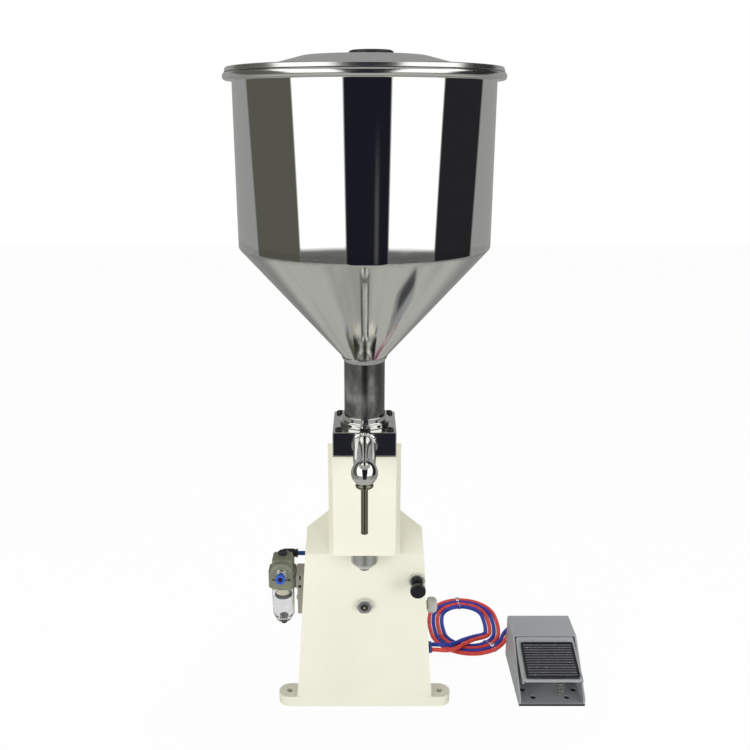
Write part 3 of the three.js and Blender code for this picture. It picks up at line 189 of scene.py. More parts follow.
class Shader:
    """Adds nodes to one node tree."""

    def __init__(self, tree):
        self.tree = tree

    def node(self, kind, settings=None, **values):
        """Adds a node: its settings are set first, then its sockets are given values or links."""
        node = self.tree.nodes.new(kind)
        for name, value in (settings or {}).items():
            setattr(node, name, value)
        for name, value in values.items():
            self.feed(node.inputs[name.replace("_", " ")], value)
        return node

    def feed(self, socket, value):
        """Gives a socket a value or a link."""
        if isinstance(value, Value):
            self.tree.links.new(value.socket, socket)
        elif isinstance(value, bpy.types.NodeSocket):
            self.tree.links.new(value, socket)
        elif socket.type == "RGBA" and len(value) == 3:
            socket.default_value = (*value, 1)
        else:
            socket.default_value = value

    def place(self, scale=(1, 1, 1)):
        """Coordinates on the piece, stretched by a scale along each axis."""
        where = self.node("ShaderNodeTexCoord").outputs["Object"]
        return self.node("ShaderNodeMapping", Vector=where, Scale=scale).outputs[0]

    def noise(self, scale, detail=3.0, stretch=(1, 1, 1), rough=0.5):
        """Cloudy noise as a value, with its scale in cycles per metre."""
        where = self.place(stretch)
        node = self.node("ShaderNodeTexNoise", Vector=where, Scale=scale, Detail=detail, Roughness=rough)
        return Value(self.tree, node.outputs[0])

    def pores(self, scale):
        """Distance to the nearest of many scattered points."""
        node = self.node("ShaderNodeTexVoronoi", Vector=self.place(), Scale=scale)
        return Value(self.tree, node.outputs["Distance"])

    def axes(self, output="Object"):
        """The three coordinates as values."""
        where = self.node("ShaderNodeTexCoord").outputs[output]
        split = self.node("ShaderNodeSeparateXYZ", Vector=where)
        return [Value(self.tree, socket) for socket in split.outputs]

    def mix(self, factor, first, second):
        """A colour between two colours."""
        node = self.node("ShaderNodeMix", {"data_type": "RGBA"})
        self.feed(node.inputs[0], factor)
        self.feed(node.inputs[6], first)
        self.feed(node.inputs[7], second)
        return node.outputs[2]


class Finish(Shader):
    """A material made of one Principled shader."""

    def __init__(self, name, **settings):
        self.material = bpy.data.materials.new(name)
        self.material.use_nodes = True
        super().__init__(self.material.node_tree)
        self.shader = self.tree.nodes["Principled BSDF"]
        self.set(**settings)

    def set(self, **settings):
        for name, value in settings.items():
            self.feed(self.shader.inputs[name.replace("_", " ")], value)

    def bump(self, height, distance):
        """Raises the surface by a height value times a distance in metres."""
        node = self.node("ShaderNodeBump", Height=height, Distance=distance)
        self.set(Normal=node.outputs[0])


def shade(base, factor):
    """A colour made lighter or darker."""
    return tuple(min(1, channel * factor) for channel in base)


def enamel(name, base):
    """Sprayed enamel: faint clouds of tone, orange peel, a soft gloss that varies."""
    finish = Finish(name, IOR=1.5)
    clouds = finish.noise(9, 4)
    finish.set(Base_Color=finish.mix(clouds.step(0.3, 0.75), shade(base, 0.965), shade(base, 1.02)))
    finish.set(Roughness=0.3 + 0.16 * finish.noise(26, 3))
    peel = finish.noise(420, 2) + 0.4 * finish.noise(1300, 2)
    finish.bump(peel, 0.00006)
    return finish.material


def speckled_paint(name, base):
    """Hammered pedal paint: fine speckle, slightly metallic, worn smoother in patches."""
    finish = Finish(name, Metallic=0.12)
    speckle = finish.noise(2600, 2)
    tone = finish.mix(speckle.step(0.35, 0.68), shade(base, 0.78), shade(base, 1.22))
    finish.set(Base_Color=tone, Roughness=0.36 + 0.2 * finish.noise(60, 3))
    finish.bump(finish.noise(1500, 2), 0.00005)
    return finish.material


def polished(name, base, rough=0.05, streaks=(1, 1, 1), wave=0.00004):
    """Polished stainless: fine buffing lines and a slight waviness of the sheet."""
    finish = Finish(name, Metallic=1.0, Base_Color=base)
    lines = finish.noise(500, 3, streaks)
    smears = finish.noise(22, 3)
    finish.set(Roughness=rough + 0.05 * smears.step(0.45, 0.8) + 0.03 * lines)
    finish.bump(finish.noise(10, 2) + 0.012 * lines, wave)
    return finish.material


def hopper_steel(name, base, axis_y, heights, belt_width):
    """Polished sheet: dull neck, streaked cone, belt above the fold with brush marks painted darker, partly a
    painted darker reflection, satin rim.
    """
    neck_z, fold_z, rim_z = heights
    finish = Finish(name, Metallic=1.0)
    x, y, height = finish.axes()
    around = x.maths("ARCTAN2", x, y - axis_y)
    lay = finish.node("ShaderNodeCombineXYZ", X=around * 2.4, Y=height * 2.5).outputs[0]
    streaks = finish.node("ShaderNodeTexNoise", Vector=lay, Scale=1.7, Detail=3.0)
    polish = Value(finish.tree, streaks.outputs[0])
    cone = height.band(neck_z, fold_z, 2 * MM)
    rim = height.step(rim_z - 0.5 * MM, rim_z + 0.5 * MM)
    neck = 1 - height.step(neck_z - 3 * MM, neck_z + 1 * MM)
    blotches = finish.noise(34, 3, (1, 1, 0.55), 0.6).step(0.42, 0.66)
    rings = finish.noise(60, 2, (0.2, 0.2, 1)).step(0.5, 0.75)
    dull = finish.mix(blotches * (0.5 + 0.5 * rings), shade(base, 0.24), shade(base, 0.95))
    ragged = height + 0.01 * (finish.noise(40, 3) - 0.5)
    belt = ragged.band(fold_z - belt_width * 0.15, fold_z + belt_width, belt_width * 0.22)
    brushed_and_shaded = finish.noise(120, 5, (1, 1, 14), 0.7)
    smears = finish.noise(16, 3)
    # Inside the belt the brush marks darken the colour: brush marks, and a painted darker reflection above
    # the fold.
    sheet = finish.mix(belt * brushed_and_shaded.step(0.35, 0.7), base, shade(base, 0.7))
    sheet = finish.mix(cone * polish.step(0.34, 0.66), sheet, shade(base, 0.74))
    finish.set(Base_Color=finish.mix(neck, sheet, dull))
    dulled = 0.24 * neck + 0.07 * cone + 0.16 * rim
    finish.set(Roughness=0.02 + 0.025 * smears.step(0.5, 0.8) * (1 - belt) + dulled)
    finish.bump(finish.noise(5, 2, (1, 1, 0.35)), 0.0006)
    return finish.material


def machined(name, base, rough=0.26, lines=(1, 1, 30)):
    """Turned or milled steel: close parallel tool marks, with painted shade darkening their grooves."""
    finish = Finish(name, Metallic=1.0)
    marks = finish.noise(240, 3, lines)
    # Painted shade: the colour follows the marks' bump and is darker in their grooves.
    finish.set(Base_Color=finish.mix(marks.step(0.3, 0.7), shade(base, 0.86), base))
    finish.set(Roughness=rough + 0.14 * marks)
    finish.bump(marks, 0.00003)
    return finish.material


def zinc_plate(name, base):
    """Galvanised sheet: spangled patches and dull edges."""
    finish = Finish(name, Metallic=1.0)
    cells = finish.pores(170)
    tone = finish.mix(cells.step(0.1, 0.75), shade(base, 0.8), shade(base, 1.12))
    finish.set(Base_Color=tone, Roughness=0.34 + 0.2 * finish.noise(90, 3))
    finish.bump(finish.noise(700, 2), 0.00002)
    return finish.material


def moulded(name, base, rough=0.42, grain=0.00004, scale=1600):
    """Moulded plastic with a fine matt grain."""
    finish = Finish(name)
    clouds = finish.noise(70, 3)
    finish.set(Base_Color=finish.mix(clouds, shade(base, 0.85), shade(base, 1.2)))
    finish.set(Roughness=rough + 0.12 * (clouds - 0.5))
    finish.bump(finish.noise(scale, 2), grain)
    return finish.material


def vulcanised(name, base):
    """Rubber: dull, with pale dust caught in its grain."""
    finish = Finish(name)
    dust = finish.noise(240, 5, rough=0.65)
    finish.set(Base_Color=finish.mix(dust.step(0.52, 0.78), base, shade(base, 3.2)))
    finish.set(Roughness=0.56 + 0.2 * finish.noise(35, 2))
    finish.bump(finish.noise(900, 3), 0.00006)
    return finish.material


def cast_paint(name, base):
    """Painted die casting: a coarse skin, with painted shade that darkens the hollows of its bump."""
    finish = Finish(name, Metallic=0.15)
    skin = finish.noise(1400, 3)
    clouds = finish.noise(45, 3)
    raised = skin.step(0.3, 0.7) * (0.6 + 0.4 * clouds)
    # Painted shade: the colour follows the skin's bump and is darker where it is low.
    finish.set(Base_Color=finish.mix(raised, shade(base, 0.8), shade(base, 1.15)))
    finish.set(Roughness=0.4 + 0.15 * clouds)
    finish.bump(skin, 0.00007)
    return finish.material


def sintered(name, base):
    """Pressed grains, as a filter element or a silencer has, with painted shade between them."""
    finish = Finish(name)
    grains = finish.pores(1500)
    # Painted shade: the colour is darker between the grains, where the bump is low.
    finish.set(Base_Color=finish.mix(grains.step(0.1, 0.8), base, shade(base, 0.72)))
    finish.set(Roughness=0.66 + 0.1 * finish.noise(80, 2))
    finish.bump(1 - grains, 0.00012)
    return finish.material


def clear_plastic(name, base):
    """Clear moulded plastic, faintly waved."""
    finish = Finish(name, Base_Color=base, IOR=1.3, Transmission_Weight=0.96)
    finish.set(Roughness=0.02 * finish.noise(60, 3))
    finish.bump(finish.noise(120, 2), 0.00002)
    return finish.material


def hose_plastic(name, base):
    """Extruded polyurethane: glossy, with faint lengthwise lines and scuffs."""
    finish = Finish(name, IOR=1.5)
    scuffs = finish.noise(130, 4, rough=0.6)
    finish.set(Base_Color=finish.mix(scuffs.step(0.35, 0.8), base, shade(base, 1.35)))
    finish.set(Roughness=0.2 + 0.2 * scuffs)
    finish.bump(finish.noise(500, 2), 0.00004)
    return finish.material


def fillet(corners, steps=5, closed=True):
    """Corners as (a, b) or (a, b, radius) become an outline whose third values are fillets."""
    outline = []
    total = len(corners)
    for place, corner in enumerate(corners):
        here = Vector(corner[:2])
        radius = corner[2] if len(corner) > 2 else 0
        if not radius or (not closed and place in (0, total - 1)):
            outline.append(here)
            continue
        back = (Vector(corners[place - 1][:2]) - here).normalized()
        ahead = (Vector(corners[(place + 1) % total][:2]) - here).normalized()
        half = back.angle(ahead) / 2
        middle = here + (back + ahead).normalized() * (radius / math.sin(half))
        first = here + back * (radius / math.tan(half)) - middle
        last = here + ahead * (radius / math.tan(half)) - middle
        wide = first.angle(last)
        for step in range(steps + 1):
            along = wide * step / steps
            arm = first * math.sin(wide - along) + last * math.sin(along)
            outline.append(middle + arm / math.sin(wide))
    return outline


def corners_of(half_x, half_y, radius, middle=(0, 0)):
    """The four corners of a rectangle, each with the same fillet."""
    x, y = middle
    return [
        (x - half_x, y - half_y, radius),
        (x + half_x, y - half_y, radius),
        (x + half_x, y + half_y, radius),
        (x - half_x, y + half_y, radius),
    ]


def at(x=0.0, y=0.0, z=0.0):
    """A move."""
    return Matrix.Translation((x, y, z))


FORWARD = (0, -1, 0)
BACKWARD = (0, 1, 0)
RIGHT = (1, 0, 0)
LEFT = (-1, 0, 0)
DOWN = (0, 0, -1)
UP = (0, 0, 1)


def facing(point, direction):
    """Turns +Z towards a direction and moves it to a point."""
    return Matrix.Translation(point) @ Vector(direction).to_track_quat("Z", "Y").to_matrix().to_4x4()


def turned_to(x, y, z):
    """A turn that takes the three axes to three directions."""
    return Matrix((x, y, z)).transposed().to_4x4()


def clean(bm):
    """Merges doubled points and turns every face outwards."""
    bmesh.ops.remove_doubles(bm, verts=bm.verts, dist=1e-6)
    bmesh.ops.dissolve_degenerate(bm, edges=bm.edges, dist=1e-7)
    bmesh.ops.recalc_face_normals(bm, faces=bm.faces)
    return bm


def lathe(profile, steps=64, place=Matrix(), ring=False):
    """A profile of (radius, height) points turned about +Z. A ring's profile closes on itself."""
    bm = bmesh.new()
    points = [bm.verts.new((point[0], 0, point[1])) for point in profile]
    edges = [bm.edges.new(pair) for pair in zip(points, points[1:])]
    if ring:
        edges.append(bm.edges.new((points[-1], points[0])))
    bmesh.ops.spin(
        bm,
        geom=points + edges,
        cent=(0, 0, 0),
        axis=(0, 0, 1),
        angle=2 * math.pi,
        steps=steps,
        use_merge=True,
        use_duplicate=False,
    )
    clean(bm)
    bm.transform(place)
    return bm


def turned(corners, rounding, steps, place=Matrix()):
    """A solid piece from corners whose first and last lie on the axis."""
    return lathe(fillet(corners, rounding, closed=False), steps, place)


def turned_ring(corners, rounding, steps, place=Matrix()):
    """A bored piece from corners that go round its wall."""
    return lathe(fillet(corners, rounding), steps, place, ring=True)


def pinch(bm, share, inner, outer=math.inf, above=-math.inf):
    """Scales the points between two radii about +Z by a share that changes with their turn."""
    for vert in bm.verts:
        away = math.hypot(vert.co.x, vert.co.y)
        if inner < away < outer and vert.co.z > above:
            factor = share(math.atan2(vert.co.y, vert.co.x))
            vert.co.x *= factor
            vert.co.y *= factor


def to_flats(turn, sides, offset=0.0):
    """Share by which a point of a circle moves out to the flats of a polygon round it."""
    step = 2 * math.pi / sides
    return 1 / math.cos((turn + offset) % step - step / 2)


def is_sharp(edge, degrees):
    """Whether an edge joins two faces that turn by more than an angle."""
    return len(edge.link_faces) == 2 and edge.calc_face_angle(0) > math.radians(degrees)


def soften(bm, edges, width, segments=2):
    """Rounds some edges."""
    if width:
        bmesh.ops.bevel(
            bm,
            geom=list(edges),
            offset=width,
            offset_type="OFFSET",
            affect="EDGES",
            segments=segments,
            profile=0.5,
            material=-1,
            clamp_overlap=True,
        )
    return bm


def slab(outline, depth, place=Matrix(), edge=0.0, segments=2):
    """An outline in the XY plane drawn up along +Z, with rounded rims."""
    bm = bmesh.new()
    face = bm.faces.new([bm.verts.new((point[0], point[1], 0)) for point in outline])
    drawn = bmesh.ops.extrude_face_region(bm, geom=[face])["geom"]
    lifted = [part for part in drawn if isinstance(part, bmesh.types.BMVert)]
    bmesh.ops.translate(bm, verts=lifted, vec=(0, 0, depth))
    level = [e for e in bm.edges if abs(e.verts[0].co.z - e.verts[1].co.z) < 1e-9]
    soften(bm, level, edge, segments)
    clean(bm)
    bm.transform(place)
    return bm


def band(outline, hole, width, place=Matrix()):
    """Two outlines joined into one closed band whose middle lies on the XY plane."""
    bm = bmesh.new()
    loops = []
    for z in (-width / 2, width / 2):
        for ring in (outline, hole):
            verts = [bm.verts.new((point[0], point[1], z)) for point in ring]
            loops.append([bm.edges.new(pair) for pair in zip(verts, verts[1:] + verts[:1])])
    for first, second in ((0, 1), (2, 3), (0, 2), (1, 3)):
        bmesh.ops.bridge_loops(bm, edges=loops[first] + loops[second])
    clean(bm)
    bm.transform(place)
    return bm


def circle(radius, middle=(0, 0), sides=48):
    """Points round a circle."""
    turns = [2 * math.pi * side / sides for side in range(sides)]
    return [(middle[0] + radius * math.cos(turn), middle[1] + radius * math.sin(turn)) for turn in turns]


def mm(corners):
    """Corners given in millimetres, in metres."""
    return [tuple(value * MM for value in corner) for corner in corners]


def blunt_box(low, high, edge, segments=3):
    """A box between two corners with rounded edges."""
    bm = bmesh.new()
    bmesh.ops.create_cube(bm, size=1)
    low, high = Vector(low), Vector(high)
    bmesh.ops.scale(bm, verts=bm.verts, vec=high - low)
    bmesh.ops.translate(bm, verts=bm.verts, vec=(low + high) / 2)
    soften(bm, bm.edges, edge, segments)
    return clean(bm)


def from_node(node, edge, segments=2, least=0.0):
    """A copy of a solid of the frame, its flat faces made whole and its sharp edges rounded."""
    bm = bmesh.new()
    bm.from_mesh(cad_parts[node].data)
    bmesh.ops.remove_doubles(bm, verts=bm.verts, dist=2e-6)
    bmesh.ops.dissolve_limit(
        bm,
        angle_limit=math.radians(0.6),
        use_dissolve_boundaries=False,
        verts=bm.verts,
        edges=bm.edges,
        delimit={"NORMAL"},
    )
    sharp = [e for e in bm.edges if is_sharp(e, 28) and e.calc_length() >= least]
    soften(bm, sharp, edge, segments)
    return clean(bm)


def hexagon_nut(flats, height, bore, place=Matrix()):
    """A nut whose six corners are turned down at both ends, on +Z."""
    inner = flats / 2
    corner = inner * to_flats(0, 6)
    rim = 0.4 * MM
    chamfer_radius = inner * 0.97
    profile = [
        (bore, rim),
        (bore + rim, 0),
        (chamfer_radius, 0),
        (corner, 0),
        (corner, height),
        (chamfer_radius, height),
        (bore + rim, height),
        (bore, height - rim),
    ]
    bm = lathe(profile, 72, ring=True)
    for vert in bm.verts:
        if math.hypot(vert.co.x, vert.co.y) < corner - 1e-7:
            continue
        radius = inner * to_flats(math.atan2(vert.co.y, vert.co.x), 6)
        drop = (radius - chamfer_radius) * math.tan(math.radians(30))
        vert.co.x *= radius / corner
        vert.co.y *= radius / corner
        vert.co.z = height - drop if vert.co.z > height / 2 else drop
    clean(bm)
    bm.transform(place)
    return bm


def coil_spring(radius, low, high, wire, curls, place=Matrix()):
    """A compression spring between two heights, with closed ends."""
    bm = bmesh.new()
    bmesh.ops.create_circle(bm, segments=12, radius=wire, cap_ends=True)
    start = at(radius, 0, low + wire) @ Matrix.Rotation(math.pi / 2, 4, "X")
    bmesh.ops.transform(bm, matrix=start, verts=bm.verts)
    steps = 24 * curls
    bmesh.ops.spin(
        bm,
        geom=bm.faces[:],
        cent=(0, 0, 0),
        axis=(0, 0, 1),
        dvec=(0, 0, (high - low - 2 * wire) / steps),
        angle=2 * math.pi * curls,
        steps=steps,
        use_duplicate=False,
    )
    clean(bm)
    bm.transform(place)
    return bm


def merged(*parts):
    """Several closed shapes as one mesh."""
    bm = parts[0]
    for part in parts[1:]:
        spare = bpy.data.meshes.new("spare")
        part.to_mesh(spare)
        part.free()
        bm.from_mesh(spare)
        bpy.data.meshes.remove(spare)
    return bm


def placed(name, data):
    """Links a new object to the scene."""
    made = bpy.data.objects.new(name, data)
    bpy.context.scene.collection.objects.link(made)
    return made


def piece(name, bm, finish, body="stand", stands_for=()):
    """Turns a finished shape into a piece of the model that rides on a body."""
    for face in bm.faces:
        face.smooth = True
    for edge in bm.edges:
        edge.smooth = len(edge.link_faces) == 2 and edge.calc_face_angle(0) < SMOOTH_BELOW
    mesh = bpy.data.meshes.new(name)
    bm.to_mesh(mesh)
    bm.free()
    mesh.materials.append(finish)
    made = placed(name, mesh)
    level = made.modifiers.new("Flat Faces", "WEIGHTED_NORMAL")
    level.keep_sharp = True
    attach(made, body)
    if stands_for:
        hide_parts(*stands_for)
    return made


def box_of(node):
    """Lowest corner, highest corner and middle of a node."""
    low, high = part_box(node)
    return low, high, (low + high) / 2


def round_box(node):
    """As box_of, with half the width along X for a radius."""
    low, high, middle = box_of(node)
    return low, high, middle, (high.x - low.x) / 2


def dress(finish, *nodes):
    """Gives nodes that keep their shape a finish."""
    for node in nodes:
        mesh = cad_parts[node].data
        mesh.materials.clear()
        mesh.materials.append(finish)


def finish_of(name, maker, base, **settings):
    """A finish that is made once and then shared."""
    return bpy.data.materials.get(name) or maker(name, tuple(base), **settings)


def paints():
    """The shared finishes by a short name."""
    paint = bpy.context.scene.filler_paint
    return {
        "cream": finish_of("Cream_Enamel", enamel, paint.cream),
        "pedal": finish_of("Pedal_Paint", speckled_paint, paint.pedal_grey),
        "casting": finish_of("Casting_Paint", cast_paint, paint.casting),
        "steel": finish_of("Polished_Steel", polished, paint.steel),
        "turned": finish_of("Turned_Steel", machined, paint.turned),
        "zinc": finish_of("Zinc_Plate", zinc_plate, paint.zinc),
        "nickel": finish_of("Nickel", polished, shade(paint.steel, 0.95), rough=0.38),
        "oxide": finish_of("Black_Oxide", machined, paint.oxide, rough=0.3, lines=(1, 1, 1)),
        "aluminium": finish_of("Aluminium", machined, paint.aluminium, rough=0.34, lines=(30, 30, 1)),
        "black": finish_of("Black_Plastic", moulded, paint.black),
        "rubber": finish_of("Rubber", vulcanised, paint.rubber),
        "pad": finish_of("Pad_Rubber", moulded, shade(paint.rubber, 0.7), rough=0.3, grain=0.00002),
        "pale": finish_of("Pale_Plastic", sintered, paint.pale),
        "ivory": finish_of("Ivory_Element", sintered, paint.ivory),
        "collet": finish_of("Collet_Plastic", moulded, paint.collet, rough=0.3),
        "red": finish_of("Red_Hose", hose_plastic, paint.red),
        "blue": finish_of("Blue_Hose", hose_plastic, paint.blue),
        "clear": finish_of("Clear_Plastic", clear_plastic, paint.clear),
    }


# Turns from the front, in degrees, between which polished metal sees each thing
LEFT_LAMP = (-60, -17)
RIGHT_LAMP = (21.6, 66)
GAP_BETWEEN_LAMPS = (-17, 21.6)
BRIGHT_LINE = (9, 12)
OLIVE_WALL = (-113, -60)
BLACK_FLAG = (66, 113)

# Heights over the horizon, in degrees, over which one thing gives way to the next
BENCH_TO_LOWER = (-32, -45)
LOWER_TO_UPPER = (-17, -12)
LAMP_FOOT = (-9.1, -8.7)
BRIGHT_LINE_FADES = (-7, 0)
SIDES_TO_TOP = (15, 60)
UPPER_TO_ROOF = (44, 54)

# The fields lean with height, and stand upright at one height
STRAIGHT_AT = math.radians(-4)
LEAN = 0.5


class FILLER_OT_stage(Operator):
    """Floor, studio light and the camera at the photograph's angle."""

    bl_idname = "filler.stage"
    bl_label = "Stage"

    def execute(self, context):
        stage = context.scene.filler_stage
        self.add_camera(context, stage)
        self.add_floor(stage)
        self.add_lamps(stage)
        self.light_world(context, stage)
        context.scene.view_settings.view_transform = "Standard"
        return {"FINISHED"}

    def add_camera(self, context, stage):
        lens = bpy.data.cameras.new("Camera")
        lens.lens = stage.camera_lens
        lens.sensor_width = 36
        lens.shift_x = stage.camera_shift
        camera = placed("Camera", lens)
        camera.location = (0, stage.camera_y, stage.camera_z)
        camera.rotation_euler = (stage.camera_tilt, 0, 0)
        context.scene.camera = camera

    def add_floor(self, stage):
        """A pale floor that the camera sees as nearly white apart from the object's shadow."""
        bm = bmesh.new()
        bmesh.ops.create_grid(bm, x_segments=1, y_segments=1, size=stage.floor_half)
        mesh = bpy.data.meshes.new("Floor")
        bm.to_mesh(mesh)
        bm.free()
        floor = placed("Floor", mesh)
        floor.visible_glossy = False
        finish = Finish("Floor_White", Base_Color=(0.88, 0.88, 0.88), Roughness=0.9)
        glow = finish.node("ShaderNodeEmission", Color=(1, 1, 1), Strength=1.0)
        path = finish.node("ShaderNodeLightPath")
        seen = Value(finish.tree, path.outputs["Is Camera Ray"])
        blend = finish.node("ShaderNodeMixShader")
        for place, value in enumerate((seen * stage.floor_glow, finish.shader.outputs[0], glow.outputs[0])):
            finish.feed(blend.inputs[place], value)
        finish.feed(finish.tree.nodes["Material Output"].inputs["Surface"], blend.outputs[0])
        mesh.materials.append(finish.material)

    def add_lamps(self, stage):
        """Two broad soft lamps in front and a small one above the hopper, whose shadow falls on the stand."""
        spots = [
            ("Lamp_Left", (-1.7, -2.2, 0.7), (1.4, 1.6), stage.lamp_power),
            ("Lamp_Right", (1.85, -2.2, 0.7), (1.4, 1.6), stage.lamp_power * stage.right_share),
            ("Lamp_Top", (0, -0.05, 2.1), (0.4, 0.4), stage.top_power),
        ]
        aim = Vector((0, 0, 0.35))
        for name, where, span, energy in spots:
            light = bpy.data.lights.new(name, "AREA")
            light.shape = "RECTANGLE"
            light.size, light.size_y = span
            light.energy = energy
            lamp = placed(name, light)
            lamp.location = where
            lamp.rotation_euler = (aim - lamp.location).to_track_quat("-Z", "Y").to_euler()
            lamp.visible_glossy = False

    def light_world(self, context, stage):
        """White to the camera. Polished metal sees two tall lamps, dark fields and a grey bench."""
        world = bpy.data.worlds.new("Studio")
        world.use_nodes = True
        context.scene.world = world
        shader = Shader(world.node_tree)
        x, y, z = shader.axes("Generated")
        lift = z.maths("ARCSINE", z)
        turn = x.maths("ARCTAN2", x, y * -1) * (1 - LEAN * (lift - STRAIGHT_AT))

        def field(span, soft=0.03):
            return turn.band(math.radians(span[0]), math.radians(span[1]), soft)

        def rise(span):
            return lift.step(math.radians(span[0]), math.radians(span[1]))

        lamps = field(LEFT_LAMP, 0.02) + field(RIGHT_LAMP, 0.02)
        gap = field(GAP_BETWEEN_LAMPS)
        above = shader.mix(field(OLIVE_WALL), (0.36, 0.36, 0.36), (0.115, 0.115, 0.095))
        above = shader.mix(field(BLACK_FLAG), above, (0.022, 0.022, 0.025))
        above = shader.mix(gap, above, (0.013, 0.013, 0.022))
        line = field(BRIGHT_LINE) * (1 - rise(BRIGHT_LINE_FADES))
        above = shader.mix(gap * line, above, (0.09, 0.09, 0.1))
        glare = shader.mix(rise(LAMP_FOOT), (0.16, 0.16, 0.16), (1.5, 1.5, 1.46))
        above = shader.mix(lamps, above, glare)
        above = shader.mix(rise(UPPER_TO_ROOF), above, (0.42, 0.42, 0.42))
        below = shader.mix(gap, (0.3, 0.3, 0.29), (0.02, 0.02, 0.03))
        below = shader.mix(lamps, below, (0.42, 0.42, 0.41))
        below = shader.mix(rise(BENCH_TO_LOWER), below, (0.5, 0.5, 0.47))
        mirrored = shader.mix(rise(LOWER_TO_UPPER), below, above)
        path = shader.node("ShaderNodeLightPath")
        to_eye, through, to_metal = [
            Value(shader.tree, path.outputs[f"Is {ray} Ray"]) for ray in ("Camera", "Transmission", "Glossy")
        ]
        even = shader.mix(rise(SIDES_TO_TOP), [stage.ambient] * 3, [stage.ambient_top] * 3)
        seen = shader.mix(to_metal, even, mirrored)
        seen = shader.mix(to_eye.maths("MAXIMUM", to_eye, through), seen, (1, 1, 1))
        shader.feed(world.node_tree.nodes["Background"].inputs["Color"], seen)


HOSE_RADIUS = 3 * MM


class HoseSettings(PropertyGroup):
    coil_x: size("Coil X", 158.5, "Middle of the coil")
    coil_y: size("Coil Y", 88, "Middle of the coil")
    straight_half: size("Straight Half", 17, "Half the straight run between the coil's half circles")
    inner_radius: size("Inner Radius", 26.5, "Radius of the innermost turn")
    spacing: size("Spacing", 6.6, "Distance between neighbouring hoses")
    climb: size("Climb", 6.7, "How far the hoses start above the bench")
    rest: size("Rest Height", 3.3, "Height of a hose that lies on the bench")
    steps_per_loop: count("Steps per Loop", 24, "Points in one turn")
    steps: count("Steps", 51, "Steps from the start of the coil to its end")
    descent: count("Descent", 5, "Steps in which the hoses come down to the bench")
    tie_width: size("Tie Width", 3.2, "Width of the band round the coil")
    tie_thickness: size("Tie Thickness", 1.1, "Thickness of the band")


# The coil starts some steps before its first full turn
FIRST_STEP = -5
# Points of the hoses' free stretches, in millimetres
LEADS = {
    "blue": [(107, 8.7, 21.7), (117, 12.3, 18.6), (127, 19, 14.4), (138, 28.5, 11.2), (148, 36.8, 10)],
    "red": [(107, -3.8, 21.5), (118, -0.5, 18.2), (129, 7.5, 14), (139.5, 17, 11.2), (150, 27.5, 10)],
}
TAILS = {
    "blue": [
        (213.8, 62, 3.2),
        (218.6, 69, 4),
        (226, 75.3, 6),
        (236, 78.8, 9),
        (247, 78.3, 12),
        (258, 73.4, 14.8),
        (267.5, 64.5, 17),
    ],
    "red": [(220.3, 60.2, 3.6), (226, 65.3, 6), (233.5, 68, 9.2), (241.6, 67.3, 12.4), (249.5, 62.6, 15.4)],
}


